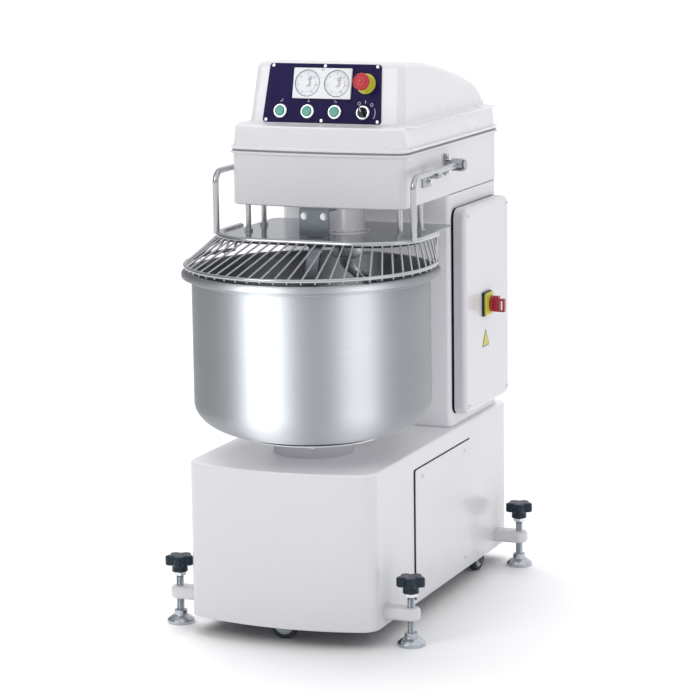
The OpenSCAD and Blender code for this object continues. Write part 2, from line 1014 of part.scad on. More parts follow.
module bowl_motor() {
    color("steelblue")
        translate([0, 270, 300]) {
            cylinder(r = 66, h = 20);
            translate([0, 0, 10])
                motor_body(70, 240);
        }
}

// Half section of the bowl's wall, grown outward by g
function bowl_side(g) =
    let (flat = bowl_flat_r, wide = bowl_r - flat + g, tall = 85 + g, mid = bowl_bottom_z + 85)
    [for (i = [0 : 10]) let (a = -90 + 9 * i) [flat + wide * cos(a), mid + tall * sin(a)]];

module bowl() {
    rim_tall = 16;
    color("silver")
        translate([0, bowl_y, 0])
            rotate_extrude($fn = 128)
                polygon(concat(
                    [[0, bowl_bottom_z]],
                    bowl_side(0),
                    [[bowl_r, bowl_top_z - 22], [rim_r - 4, bowl_top_z - rim_tall],
                     [rim_r, bowl_top_z - rim_tall + 4], [rim_r, bowl_top_z - 4],
                     [rim_r - 4, bowl_top_z], [bowl_r - bowl_wall + 2, bowl_top_z],
                     [bowl_r - bowl_wall, bowl_top_z - 2]],
                    [for (i = [10 : -1 : 0]) bowl_side(-bowl_wall)[i]],
                    [[0, bowl_bottom_z + bowl_wall]]));
}

// ---------------------------------------------------------------- splash plate and breaker bar

module splash_plate() {
    corner = 100;
    front = -262;
    rear = 130;
    color("silver")
        translate([0, 0, plate_top_z - sheet])
            difference() {
                linear_extrude(sheet)
                    polygon(concat(
                        arc(plate_half_w - corner, front + corner, corner, -90, 0, 12),
                        arc(plate_half_w - 20, rear - 20, 20, 0, 90, 6),
                        arc(20 - plate_half_w, rear - 20, 20, 90, 180, 6),
                        arc(corner - plate_half_w, front + corner, corner, 180, 270, 12)));
                translate([spiral_x, spiral_y, -1])
                    cylinder(r = 36, h = 6);
                translate([-19, bar_y - 9, -1])
                    cube([38, 18, 6]);
            }
}

module splash_plate_rods() {
    color("silver")
        on_both_sides()
            for (p = rod_spots)
                translate([p[0], p[1], plate_top_z]) {
                    cylinder(r = 7, h = head_bottom_z - plate_top_z);
                    cylinder(r = 12, h = 7, $fn = 6);
                }
}

// Flat bar that stands in the middle of the bowl, with the bracket that hangs it
module breaker_bar() {
    top_z = head_bottom_z - 8;
    front = bar_y - 6;
    back = bar_y + 6;
    color("silver") {
        translate([17, 0, 0])
            rotate([0, -90, 0])
                linear_extrude(34)
                    polygon([[top_z, back], [top_z, front], [985, front], [900, -234], [545, -234],
                             [528, -226], [532, -220], [900, -220], [985, back + 2], [990, back]]);
        difference() {
            block([-41, front - 6, plate_top_z + 1], [41, front, head_bottom_z - 4]);
            for (s = [-1, 1])
                translate([s * 27, front + 10, bracket_bolt_z])
                    rotate([90, 0, 0])
                        cylinder(r = 5, h = 30);
        }
        block([-41, front, head_bottom_z - 10], [41, front + 50, head_bottom_z]);
    }
}

// ---------------------------------------------------------------- guard

// Hinge bracket and rest stop on the right-hand side of the head
module guard_bracket_right() {
    on_side(head_half_w, hinge_y, hinge_z) {
        linear_extrude(5)
            soft_rect(30, 56, 6);
        cylinder(r = 12.5, h = arm_x - head_half_w - 16);
        cylinder(r = 9, h = arm_x - head_half_w + 19);
        translate([0, 0, arm_x - head_half_w + 16.3])
            cylinder(r = 13, h = 4);
    }
    on_side(head_half_w, -28, hinge_z - 28) {
        linear_extrude(4)
            soft_rect(60, 30, 4);
    }
    block([head_half_w + 3, -58, hinge_z - tube_d / 2 - 8.4], [arm_x + 10, -32, hinge_z - tube_d / 2 - 0.4]);
}

module guard_brackets() {
    color("silver")
        on_both_sides()
            guard_bracket_right();
}

module bracket_bolts() {
    color("silver") {
        on_both_sides() {
            for (s = [-1, 1])
                on_side(head_half_w + 5, hinge_y, hinge_z + s * 21)
                    hex_head(6, 5);
            on_side(head_half_w + 4, -14, hinge_z - 30)
                hex_head(6, 5);
        }
        for (s = [-1, 1])
            translate([s * 27, bar_y - 12, bracket_bolt_z])
                rotate([90, 0, 0])
                    hex_head(7, 5);
    }
}

// Half of the guard's tube work: side run, corner, half the front run and the arm
module guard_half() {
    r = tube_d / 2;
    cx = arm_x - frame_corner_r;
    cy = frame_front_y + frame_corner_r;
    bend = 30;
    low_y = -204;
    translate([arm_x, cy, guard_frame_z])
        rotate([-90, 0, 0])
            cylinder(r = r, h = frame_end_y - cy);
    translate([cx, cy, guard_frame_z])
        rotate([0, 0, -90])
            rotate_extrude(angle = 90, $fn = 96)
                translate([frame_corner_r, 0])
                    circle(r = r, $fn = 32);
    translate([0, frame_front_y, guard_frame_z])
        rotate([0, 90, 0])
            cylinder(r = r, h = cx);
    translate([arm_x - 3, low_y, guard_frame_z])
        cylinder(r = r, h = hinge_z - bend - guard_frame_z);
    translate([arm_x - 3, low_y + bend, hinge_z - bend])
        rotate([0, -90, 0])
            rotate([0, 0, -90])
                rotate_extrude(angle = 90, $fn = 96)
                    translate([bend, 0])
                        circle(r = r, $fn = 32);
    translate([arm_x - 3, low_y + bend, hinge_z])
        rotate([-90, 0, 0])
            cylinder(r = r, h = hinge_y - 10 - low_y - bend);
}

module guard_frame() {
    color("silver")
        difference() {
            union() {
                on_both_sides() {
                    guard_half();
                    on_side(arm_x - 15.5, hinge_y, hinge_z)
                        cylinder(r = 17, h = 31);
                }
            }
            translate([-400, hinge_y, hinge_z])
                rotate([0, 90, 0])
                    cylinder(r = 9 + running, h = 800);
        }
}

// Point a share s (-1 to 1) of the way along the guard's inner frame, from its middle
function frame_point(s) =
    let (run = arm_x - frame_corner_r,
         bend = frame_corner_r * PI / 2,
         side = frame_end_y - frame_front_y - frame_corner_r,
         d = abs(s) * (run + bend + side),
         a = (d - run) / bend * 90,
         p = d < run ? [d, frame_front_y]
           : d < run + bend ? [run + frame_corner_r * sin(a),
                               frame_front_y + frame_corner_r * (1 - cos(a))]
           : [arm_x, frame_front_y + frame_corner_r + d - run - bend])
    [s < 0 ? -p[0] : p[0], p[1], guard_frame_z];

function ring_point(s, extra = 0) =
    let (a = -90 + s * (90 + ring_end_a))
    [(guard_ring_r + extra) * cos(a), bowl_y + (guard_ring_r + extra) * sin(a), guard_ring_z];

module guard_grille() {
    color("silver") {
        translate([0, bowl_y, guard_ring_z])
            rotate([0, 0, -180 - ring_end_a])
                rotate_extrude(angle = 180 + 2 * ring_end_a, $fn = 128)
                    translate([guard_ring_r, 0])
                        circle(r = 5, $fn = 24);
        for (i = [0 : wire_gaps])
            let (s = -1 + 2 * i / wire_gaps)
                bar(ring_point(s), frame_point(s), i == 0 || i == wire_gaps ? 4 : wire_d / 2);
    }
}

// ---------------------------------------------------------------- feet and castors

module foot_pad() {
    color("silver")
        rotate_extrude()
            difference() {
                polygon([[0, 0], [pad_r - 2, 0], [pad_r, 2], [pad_r, 6], [pad_r - 3, 10],
                         [20, 20], [17, 21], [17, 34], [0, 34]]);
                translate([0, 14])
                    square([hole_r, 30]);
            }
}

// Levelling screw with its star knob
module foot_screw() {
    lobes = 5;
    color("darkslategray") {
        translate([0, 0, 14.5])
            cylinder(r = screw_r, h = 150);
        translate([0, 0, 127])
            cylinder(r = 17, h = 9, $fn = 6);
        translate([0, 0, 136])
            cylinder(r = 21, h = 20);
        translate([0, 0, 154])
            linear_extrude(26)
                union() {
                    circle(r = 30);
                    for (i = [0 : lobes - 1])
                        rotate([0, 0, i * 360 / lobes])
                            translate([25, 0])
                                circle(r = 13);
                }
    }
}

module foot_pad_front_left() {
    translate([-foot_x, foot_front_y, 0])
        foot_pad();
}

module foot_pad_front_right() {
    translate([foot_x, foot_front_y, 0])
        foot_pad();
}

module foot_pad_rear_left() {
    translate([-foot_x, foot_rear_y, 0])
        foot_pad();
}

module foot_pad_rear_right() {
    translate([foot_x, foot_rear_y, 0])
        foot_pad();
}

module foot_screw_front_left() {
    translate([-foot_x, foot_front_y, 0])
        foot_screw();
}

module foot_screw_front_right() {
    translate([foot_x, foot_front_y, 0])
        foot_screw();
}

module foot_screw_rear_left() {
    translate([-foot_x, foot_rear_y, 0])
        foot_screw();
}

module foot_screw_rear_right() {
    translate([foot_x, foot_rear_y, 0])
        foot_screw();
}

// Castor wheel with its axle along Z, centred
module wheel() {
    color("dimgray")
        difference() {
            union() {
                cylinder(r = castor_r, h = 22, center = true, $fn = 96);
                cylinder(r = 12, h = 26, center = true);
            }
            cylinder(r = 6 + running, h = 40, center = true);
        }
}

module castor_wheel() {
    translate([front_wheel[0], front_wheel[1], castor_r])
        rotate([90, 0, 0])
            wheel();
}

module rear_wheel_left() {
    translate([-rear_wheel_x, rear_wheel_y, castor_r])
        rotate([0, 90, 0])
            wheel();
}

module rear_wheel_right() {
    translate([rear_wheel_x, rear_wheel_y, castor_r])
        rotate([0, 90, 0])
            wheel();
}

module castor_fork() {
    color("silver") {
        translate([swivel_x, front_wheel[1], 84])
            cylinder(r = 27, h = rail_low_z - 0.5 - 84);
        translate([swivel_x, front_wheel[1], 90])
            cylinder(r = 8, h = 48);
        for (s = [-1, 1])
            translate([0, front_wheel[1] + s * 15.5, 0])
                rotate([90, 0, 0])
                    linear_extrude(3, center = true)
                        polygon([[front_wheel[0] - 10, 28], [front_wheel[0] + 10, 28],
                                 [swivel_x + 20, 84], [swivel_x - 22, 84]]);
        translate([front_wheel[0], front_wheel[1], castor_r])
            rotate([90, 0, 0])
                cylinder(r = 6, h = 40, center = true);
    }
}

// ---------------------------------------------------------------- the sub-parts, one by one

base_shell();
access_panel();
chassis_frame();
foot_lugs();
column_shell();
rear_cover();
cover_screws();
head_shell();
top_cover();
control_panel();
timer_housing();
pilot_collars();
switch_blocks();
switchgear_cover();
switchgear_plate();
isolator_base();
cable_gland();
spindle_housing();
shaft_bearings();
splash_plate();
splash_plate_rods();
breaker_bar();
guard_brackets();
bracket_bolts();
bowl_bearing_housing();
bowl_motor();
spiral_motor();
drive_belts();
countershaft_housing();
bowl();
bowl_hub();
bowl_pulley();
bowl_motor_pulley();
spiral_tool();
spiral_shaft();
spiral_pulley();
countershaft();
motor_pulley();
guard_frame();
guard_grille();
estop_button();
button_left();
button_middle();
button_right();
selector_knob();
timer_knob_left();
timer_knob_right();
isolator_handle();
foot_pad_front_left();
foot_pad_front_right();
foot_pad_rear_left();
foot_pad_rear_right();
foot_screw_front_left();
foot_screw_front_right();
foot_screw_rear_left();
foot_screw_rear_right();
castor_fork();
castor_wheel();
rear_wheel_left();
rear_wheel_right();
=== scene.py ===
"""Looks of a floor-standing spiral dough mixer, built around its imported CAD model.

Metres, +Z up, the front faces -Y, +X is to the operator's right. Sizes in millimetres are
written as a number times MM, or said to be millimetres where they are used.
"""
import json
import math

import bmesh
import bpy
from mathutils import Matrix, Quaternion, Vector


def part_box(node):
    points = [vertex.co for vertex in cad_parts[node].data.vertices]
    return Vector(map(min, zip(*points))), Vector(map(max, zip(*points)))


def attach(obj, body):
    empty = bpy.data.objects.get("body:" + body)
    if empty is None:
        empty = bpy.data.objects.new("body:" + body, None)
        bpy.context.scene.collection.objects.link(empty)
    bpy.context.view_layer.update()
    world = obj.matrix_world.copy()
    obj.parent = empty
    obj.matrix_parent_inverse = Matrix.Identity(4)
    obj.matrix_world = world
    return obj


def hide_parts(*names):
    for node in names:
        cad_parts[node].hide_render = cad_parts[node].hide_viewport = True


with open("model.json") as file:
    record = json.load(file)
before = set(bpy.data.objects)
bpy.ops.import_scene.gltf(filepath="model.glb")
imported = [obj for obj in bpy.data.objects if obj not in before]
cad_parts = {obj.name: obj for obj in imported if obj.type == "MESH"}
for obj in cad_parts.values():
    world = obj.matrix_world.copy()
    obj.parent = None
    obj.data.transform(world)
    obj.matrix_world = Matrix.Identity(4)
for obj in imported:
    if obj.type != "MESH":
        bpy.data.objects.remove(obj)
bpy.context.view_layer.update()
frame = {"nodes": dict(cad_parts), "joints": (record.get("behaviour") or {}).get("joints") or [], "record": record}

MM = 0.001
JOINTS = {joint["name"]: joint for joint in frame["joints"]}
CORNERS = ("front_left", "front_right", "rear_left", "rear_right")
BUTTONS = ("button_left", "button_middle", "button_right")


# ---------------------------------------------------------------- places and directions

def axes(across, up, out, origin=(0, 0, 0)):
    """Matrix of a local frame: u across, v up, w out of the surface."""
    turn = Matrix((across, up, out)).transposed().to_4x4()
    return Matrix.Translation(origin) @ turn


def on_right(x, y=0.0, z=0.0):
    return axes((0, 1, 0), (0, 0, 1), (1, 0, 0), (x, y, z))


def centre(node):
    low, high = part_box(node)
    return (low + high) / 2


def upright(axis, z=0.0):
    """Shift that puts a turned shape on an upright axis."""
    return Matrix.Translation((axis.x, axis.y, z))


def span(points):
    """Lowest and highest corner of some points."""
    return [Vector(map(pick, zip(*points))) for pick in (min, max)]


def local_points(node, matrix):
    """Points of a CAD node along the axes of a local frame."""
    inverse = matrix.inverted()
    return [inverse @ v.co for v in frame["nodes"][node].data.vertices]


def local_box(node, matrix):
    return span(local_points(node, matrix))


PANEL_T = 3 * MM


def panel_frame():
    """Local frame of the sloping control panel: w is 0 at its back."""
    out = -Vector(JOINTS["estop_press"]["axis"])
    across = Vector((1, 0, 0))
    back = centre("control_panel") - out * PANEL_T / 2
    return axes(across, out.cross(across), out, back)


PANEL = panel_frame()


def panel_spot(node):
    """Where a round control's axis meets the panel, in the panel's own frame."""
    low, high = local_box(node, PANEL)
    return Vector(((low.x + high.x) / 2, (low.y + high.y) / 2, 0))


def on_panel(node):
    """Local frame on the panel with its origin on a round control's axis."""
    return PANEL @ Matrix.Translation(panel_spot(node))


# ---------------------------------------------------------------- outlines and profiles

def around(radius, turn, x=0.0, y=0.0):
    """Point at a radius and an angle in degrees about (x, y)."""
    a = math.radians(turn)
    return x + radius * math.cos(a), y + radius * math.sin(a)


def arc(cx, cy, r, a0, a1, steps, last=True):
    """Points of an arc, angles in degrees."""
    return [around(r, a0 + (a1 - a0) * i / steps, cx, cy) for i in range(steps + last)]


def rounded_box(w, h, r, steps=6):
    """Centred rectangle with rounded corners."""
    r = max(r, 0.5 * MM)
    x, y = w / 2 - r, h / 2 - r
    middles = ((x, y), (-x, y), (-x, -y), (x, -y))
    return [p for k, (cx, cy) in enumerate(middles)
            for p in arc(cx, cy, r, 90 * k, 90 * k + 90, steps)]


def box_plan(w, h, corner, steps=6, at=(0, 0)):
    """Outline of a rounded rectangle about at, as a function of how far it grows."""
    return lambda grow: [(x + at[0], y + at[1]) for x, y in
                         rounded_box(w + 2 * grow, h + 2 * grow, corner + grow, steps)]


def housing(half_w, front_y, rear_y, bow, front_r, rear_r):
    """Plan of a housing with a bowed front, filleted front corners and rounded rear corners."""
    bow_r = (half_w ** 2 + bow ** 2) / (2 * bow)
    bow_y = front_y + bow_r
    fx = half_w - front_r
    fy = bow_y - math.sqrt((bow_r - front_r) ** 2 - fx ** 2)
    meet = math.degrees(math.atan2(fy - bow_y, fx))
    side_x = half_w - rear_r
    return (arc(0, bow_y, bow_r, -180 - meet, meet, 40, False)
            + arc(fx, fy, front_r, meet, 0, 14)
            + arc(side_x, rear_y - rear_r, rear_r, 0, 90, 10)
            + arc(-side_x, rear_y - rear_r, rear_r, 90, 180, 10)
            + arc(-fx, fy, front_r, 180, 180 - meet, 14, False))


def soften(corners, steps=5, closed=False):
    """Profile through corners (x, y, radius), each rounded by an arc of its radius."""
    made = []
    count = len(corners)
    for i, (x, y, radius) in enumerate(corners):
        corner = Vector((x, y))
        if radius <= 0 or (not closed and i in (0, count - 1)):
            made.append((x, y))
            continue
        before = Vector(corners[i - 1][:2]) - corner
        after = Vector(corners[(i + 1) % count][:2]) - corner
        half = before.angle(after) / 2
        reach = min(radius / math.tan(half), before.length * 0.49, after.length * 0.49)
        before.normalize()
        after.normalize()
        middle = corner + (before + after).normalized() * (reach / math.cos(half))
        a = corner + before * reach - middle
        b = corner + after * reach - middle
        sweep = a.angle(b)
        for k in range(steps + 1):
            share = k / steps
            p = (a * math.sin((1 - share) * sweep) + b * math.sin(share * sweep)) / math.sin(sweep)
            made.append(tuple(middle + p))
    return made


def millimetres(corners):
    return [tuple(value * MM for value in corner) for corner in corners]


# ---------------------------------------------------------------- meshes

def loft(bm, rings, loop=False):
    """Skins rings of equal length, one after the other."""
    rows = [[bm.verts.new(p) for p in ring] for ring in rings]
    if loop:
        rows.append(rows[0])
    for a, b in zip(rows, rows[1:]):
        count = len(a)
        for i in range(count):
            j = (i + 1) % count
            bm.faces.new((a[i], a[j], b[j], b[i]))
    if not loop:
        bm.faces.new(rows[0][::-1])
        bm.faces.new(rows[-1])
    return bm


def swept(outline, profile, bm=None, **how):
    """Rings of outline(grow) at the heights of a profile of (grow, z)."""
    bm = bm or bmesh.new()
    return loft(bm, [[(x, y, z) for x, y in outline(grow)] for grow, z in profile], **how)


def lathe(profile, steps=64, at=(0, 0), **how):
    """Turns a profile of (radius, z) about an upright axis."""
    circle = [around(1, 360 * k / steps) for k in range(steps)]
    rings = [[(at[0] + r * c, at[1] + r * s, z) for c, s in circle] for r, z in profile]
    return loft(bmesh.new(), rings, **how)


def tube(path, radius, sides=16, bm=None, closed=False):
    """Round bar along a path of points; radius is a number or one for each point."""
    points = [Vector(p) for p in path]
    count = len(points)
    radii = list(radius) if hasattr(radius, "__len__") else [radius] * count
    along = []
    for i in range(count):
        before = points[i - 1] if closed or i else points[0]
        after = points[(i + 1) % count] if closed or i < count - 1 else points[-1]
        along.append((after - before).normalized())
    normal = along[0].orthogonal().normalized()
    circle = [around(1, 360 * k / sides) for k in range(sides)]
    rings = []
    for i, p in enumerate(points):
        if i:
            normal = along[i - 1].rotation_difference(along[i]) @ normal
        side = along[i].cross(normal)
        rings.append([p + radii[i] * (c * normal + s * side) for c, s in circle])
    if not closed:
        for end, step in ((0, -1), (-1, 1)):
            p, r = points[end], radii[end]
            dome = [[p + (q - p) * c + along[end] * step * r * s for q in rings[end]]
                    for c, s in ((0.92, 0.38), (0.7, 0.7), (0.38, 0.92))]
            rings = rings + dome if end else dome[::-1] + rings
    return loft(bm or bmesh.new(), rings, loop=closed)


def prism(outline, low, high, edge, steps=3, bm=None):
    """Plate from outline(grow), w from low to high, with its edges rounded by edge."""
    turns = [math.radians(90 * k / steps) for k in range(steps + 1)]
    profile = [(edge * (math.sin(t) - 1), low + edge * (1 - math.cos(t))) for t in turns]
    profile += [(edge * (math.cos(t) - 1), high - edge * (1 - math.sin(t))) for t in turns]
    return swept(outline, profile, bm)


def moved(bm, matrix):
    bm.transform(matrix)
    return bm


def mesh_of(bm, name="scratch"):
    """Plain mesh of a bmesh, which is used up."""
    mesh = bpy.data.meshes.new(name)
    bm.to_mesh(mesh)
    bm.free()
    return mesh


def placed(name, data):
    """New object in the scene."""
    item = bpy.data.objects.new(name, data)
    bpy.context.scene.collection.objects.link(item)
    return item


def merged(*parts):
    """One bmesh out of several; the others are used up."""
    whole = parts[0]
    for part in parts[1:]:
        mesh = mesh_of(part)
        whole.from_mesh(mesh)
        bpy.data.meshes.remove(mesh)
    return whole


def copies(shape, places):
    """One bmesh that holds a shape at each place; the shape is used up."""
    whole = bmesh.new()
    scratch = mesh_of(shape)
    for place in places:
        mesh = scratch.copy()
        mesh.transform(place)
        whole.from_mesh(mesh)
        bpy.data.meshes.remove(mesh)
    bpy.data.meshes.remove(scratch)
    return whole


def evaluated(item):
    """bmesh of an object as its modifiers or its text leave it."""
    bpy.context.view_layer.update()
    final = item.evaluated_get(bpy.context.evaluated_depsgraph_get())
    bm = bmesh.new()
    bm.from_mesh(final.to_mesh())
    final.to_mesh_clear()
    return bm


def carved(bm, *tools):
    """bm with the space of each tool taken out, one after the other."""
    for tool in tools:
        made = []
        for part in (bm, tool):
            bmesh.ops.recalc_face_normals(part, faces=part.faces)
            made.append(placed("scratch", mesh_of(part)))
        cut = made[0].modifiers.new("cut", "BOOLEAN")
        cut.object = made[1]
        cut.solver = "EXACT"
        bm = evaluated(made[0])
        for item in made:
            mesh = item.data
            bpy.data.objects.remove(item)
            bpy.data.meshes.remove(mesh)
    return bm


def box_shape(low, high):
    bm = bmesh.new()
    bmesh.ops.create_cube(bm, size=1)
    low, high = Vector(low), Vector(high)
    size = Matrix.Diagonal((*(high - low), 1))
    return moved(bm, Matrix.Translation((low + high) / 2) @ size)


def cad_mesh(node):
    """bmesh of a CAD node with its points joined."""
    bm = bmesh.new()
    bm.from_mesh(frame["nodes"][node].data)
    bmesh.ops.remove_doubles(bm, verts=bm.verts, dist=2e-6)
    return bm


def from_cad(node, edge, segments=2, sharp=35):
    """A CAD node's own shape with its sharp edges rounded by edge."""
    bm = cad_mesh(node)
    bmesh.ops.dissolve_limit(bm, angle_limit=math.radians(0.5), verts=bm.verts, edges=bm.edges)
    corners = [e for e in bm.edges if len(e.link_faces) == 2
               and e.calc_face_angle(0) > math.radians(sharp)]
    bmesh.ops.bevel(bm, geom=corners, offset=edge, offset_type="OFFSET", segments=segments,
                    profile=0.5, affect="EDGES", clamp_overlap=True)
    return bm


def add(name, bm, body, slot, replaces=(), look=None, crisp=32):
    """Makes a piece of the object from a bmesh: shading, material (its look, else the one of its slot) and body.
    """
    bmesh.ops.recalc_face_normals(bm, faces=bm.faces)
    for face in bm.faces:
        face.smooth = True
    for edge in bm.edges:
        if len(edge.link_faces) == 2 and edge.calc_face_angle(0) > math.radians(crisp):
            edge.smooth = False
    piece = placed(name, mesh_of(bm, name))
    piece.data.materials.append(LOOKS[look or slot])
    weighted = piece.modifiers.new("even shading", "WEIGHTED_NORMAL")
    weighted.keep_sharp = True
    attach(piece, body)
    if replaces:
        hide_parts(*replaces)
    return piece


# ---------------------------------------------------------------- materials

def plug(tree, socket, value):
    """Sets an input to a value, or links it to another node's output."""
    if isinstance(value, bpy.types.NodeSocket):
        tree.links.new(value, socket)
    else:
        socket.default_value = value


def shader_node(tree, kind, **inputs):
    """New shader node with its inputs plugged; _ stands for a space in their names."""
    node = tree.nodes.new("ShaderNode" + kind)
    for name, value in inputs.items():
        plug(tree, node.inputs[name.replace("_", " ")], value)
    return node


class Surface:
    """A Principled material whose colour, gloss and relief come from procedural nodes."""

    def __init__(self, name, color, rough, **sockets):
        self.name = name
        self.mat = bpy.data.materials.new(name)
        self.mat.use_nodes = True
        self.mat.diffuse_color = (*color, 1)
        self.tree = self.mat.node_tree
        self.inputs = self.tree.nodes["Principled BSDF"].inputs
        self.color = color
        self.rough = rough
        sockets.update(Base_Color=(*color, 1), Roughness=rough)
        for socket, value in sockets.items():
            self.set(socket, value)
        self.place = shader_node(self.tree, "TexCoord").outputs["Object"]
        self.normal = None

    def set(self, socket, value):
        plug(self.tree, self.inputs[socket.replace("_", " ")], value)
        return self

    def noise(self, scale, detail=4, stretch=(1, 1, 1)):
        mapping = shader_node(self.tree, "Mapping", Scale=stretch, Vector=self.place)
        noise = shader_node(self.tree, "TexNoise", Scale=scale, Detail=detail,
                            Vector=mapping.outputs["Vector"])
        return noise.outputs["Fac"]

    def mottle(self, scale, amount, **how):
        """Lets the colour drift between two near shades."""
        ramp = shader_node(self.tree, "ValToRGB", Fac=self.noise(scale, **how))
        shades = ((0.3, 1 - amount), (0.7, 1 + amount))
        for element, (position, share) in zip(ramp.color_ramp.elements, shades):
            element.position = position
            element.color = (*[min(1, c * share) for c in self.color], 1)
        return self.set("Base_Color", ramp.outputs["Color"])

    def gloss(self, scale, spread, **how):
        """Lets the roughness vary by spread either way."""
        limits = {"From Min": 0.3, "From Max": 0.7, "To Min": max(0.02, self.rough - spread),
                  "To Max": self.rough + spread}
        varied = shader_node(self.tree, "MapRange", Value=self.noise(scale, **how), **limits)
        return self.set("Roughness", varied.outputs["Result"])

    def relief(self, scale, strength, depth=0.2 * MM, **how):
        """Adds a fine relief on top of what is there."""
        bump = shader_node(self.tree, "Bump", Strength=strength, Distance=depth,
                           Height=self.noise(scale, **how))
        if self.normal:
            plug(self.tree, bump.inputs["Normal"], self.normal)
        self.normal = bump.outputs["Normal"]
        return self.set("Normal", self.normal)

    def brushed_round(self, amount, turn):
        """Stretches the highlights of a turned surface, about the upright axis."""
        tangent = shader_node(self.tree, "Tangent")
        tangent.direction_type = "RADIAL"
        tangent.axis = "Z"
        self.set("Tangent", tangent.outputs["Tangent"])
        return self.set("Anisotropic", amount).set("Anisotropic_Rotation", turn)


def paint(name, color, rough, coat):
    """Powder coat: a faint orange peel under a glossy skin, with hardly any drift in shade."""
    return (Surface(name, color, rough, Coat_Weight=coat, Coat_Roughness=0.14)
            .mottle(3, 0.012).gloss(9, 0.05).relief(300, 0.015, 0.06 * MM))


def steel(name, color, rough, lines=(1, 1, 1), scale=90, depth=0.05):
    """Bright metal with polishing lines; lines stretches them across one axis."""
    how = {"stretch": lines, "detail": 6}
    return (Surface(name, color, rough, Metallic=1.0)
            .mottle(scale, 0.015, **how)
            .gloss(scale * 0.7, rough * 0.1, **how)
            .relief(scale * 2, depth, 0.05 * MM, **how))


def plastic(name, color, rough=0.3, coat=0.2, grain=900, depth=0.04, level=0.5):
    """Moulded plastic with a fine grain; level sets how strongly it reflects."""
    surface = Surface(name, color, rough, Coat_Weight=coat, Coat_Roughness=0.1,
                      Specular_IOR_Level=level)
    return surface.mottle(14, 0.03).gloss(40, 0.05).relief(grain, depth, 0.1 * MM)


def rubber(name, color, rough, drift, grain, scales=(50, 70), **sockets):
    """Rubber: colour drift and gloss at two scales, with a coarse grain."""
    return (Surface(name, color, rough, **sockets)
            .mottle(scales[0], drift).gloss(scales[1], 0.1).relief(500, grain))


def make_looks():
    turned = {"stretch": (0.003, 0.003, 1)}
    bowl = (Surface("bowl_steel", (0.41, 0.425, 0.445), 0.60, Metallic=1.0)
            .mottle(900, 0.012, detail=6, **turned).gloss(500, 0.03, detail=6, **turned)
            .relief(900, 0.004, 0.1 * MM, **turned).brushed_round(0.85, 0.25))
    cast = (Surface("cast", (0.10, 0.105, 0.11), 0.6, Metallic=0.6)
            .mottle(60, 0.2).gloss(40, 0.1).relief(260, 0.5, 0.3 * MM))
    looks = [
        bowl,
        cast,
        paint("white_paint", (0.69, 0.685, 0.715), 0.36, 0.5),
        paint("cover_white", (0.77, 0.77, 0.79), 0.30, 0.4),
        paint("chassis_paint", (0.055, 0.06, 0.068), 0.5, 0.1),
        paint("motor_paint", (0.04, 0.10, 0.20), 0.45, 0.2).relief(120, 0.25, 0.3 * MM),
        steel("stainless", (0.36, 0.38, 0.40), 0.26, (1, 0.06, 1), 500, 0.02),
        steel("stainless_wire", (0.52, 0.53, 0.55), 0.26, scale=400, depth=0.01),
        # Steel brightened: painted light on the hub's disc, which sits in the shadow under the bowl.
        steel("steel_painted_light", (0.86, 0.86, 0.88), 0.45, (0.1, 0.1, 1), 200),
        steel("tool_steel", (0.62, 0.64, 0.66), 0.20, scale=300, depth=0.02),
        # Stainless darkened: painted shade for the breaker bar's bracket, which sits in the shade under the head.
        steel("stainless_painted_shade", (0.20, 0.22, 0.24), 0.30, (1, 0.06, 1), 500, 0.02),
        steel("plate_steel", (0.34, 0.36, 0.38), 0.14, (0.05, 1, 1), 140, 0.03),
        steel("zinc", (0.74, 0.76, 0.79), 0.20, scale=160),
        steel("chrome_dark", (0.50, 0.53, 0.57), 0.14, scale=160),
        steel("steel", (0.50, 0.51, 0.53), 0.32, (0.1, 0.1, 1), 200),
        plastic("navy_panel", (0.012, 0.006, 0.062), 0.50, 0.0, 900, 0.03, 0.15),
        plastic("green_plastic", (0.06, 0.33, 0.25), 0.26),
        plastic("red_plastic", (0.50, 0.022, 0.035), 0.34, 0.1),
        plastic("isolator_red", (0.36, 0.012, 0.02), 0.34, 0.1),
        plastic("yellow_plastic", (0.56, 0.53, 0.04), 0.36, 0.1),
        plastic("black_plastic", (0.012, 0.016, 0.022), 0.40, 0.0, level=0.35),
        plastic("knob_plastic", (0.004, 0.016, 0.030), 0.30, 0.0, 700, 0.03, 0.35),
        plastic("dial_white", (0.72, 0.735, 0.76), 0.25, 0.5, 1600, 0.03),
        plastic("dial_face", (0.78, 0.80, 0.83), 0.40, 0.2, 1600, 0.03),
        # Dark print of the dials; also used for their ring of painted shadow at the recess's edge.
        plastic("dial_ink", (0.06, 0.07, 0.12), 0.5, 0.0, 1600, 0.03),
        plastic("white_ink", (0.75, 0.75, 0.80), 0.5, 0.0, 1600, 0.03),
        plastic("wheel_hub", (0.55, 0.60, 0.66), 0.45, 0.1, 500, 0.12),
        rubber("belt_rubber", (0.018, 0.018, 0.018), 0.7, 0.2, 0.3),
        # Dark navy seal rubber; also painted shadow, in the strips past the access cover's edges and round the
        # timer plate.
        rubber("seal_rubber_and_shade", (0.006, 0.007, 0.022), 0.6, 0.15, 0.25, Specular_IOR_Level=0.1),
        # Grey seal rubber, coloured darker than it is to paint the shade line in the groove between the rims.
        rubber("cover_seal", (0.22, 0.22, 0.25), 0.6, 0.06, 0.2),
        rubber("tyre", (0.045, 0.055, 0.065), 0.6, 0.15, 0.35, (60, 60)),
    ]
    return {surface.name: surface.mat for surface in looks}


LOOKS = make_looks()


def dress_cad_nodes():
    """Gives every CAD node the procedural material of its slot."""
    for row in frame["record"]["subparts"]:
        node = frame["nodes"][row["node"]]
        node.data.materials.clear()
        node.data.materials.append(LOOKS[row["material_slot"]])


# ---------------------------------------------------------------- base, column and seals

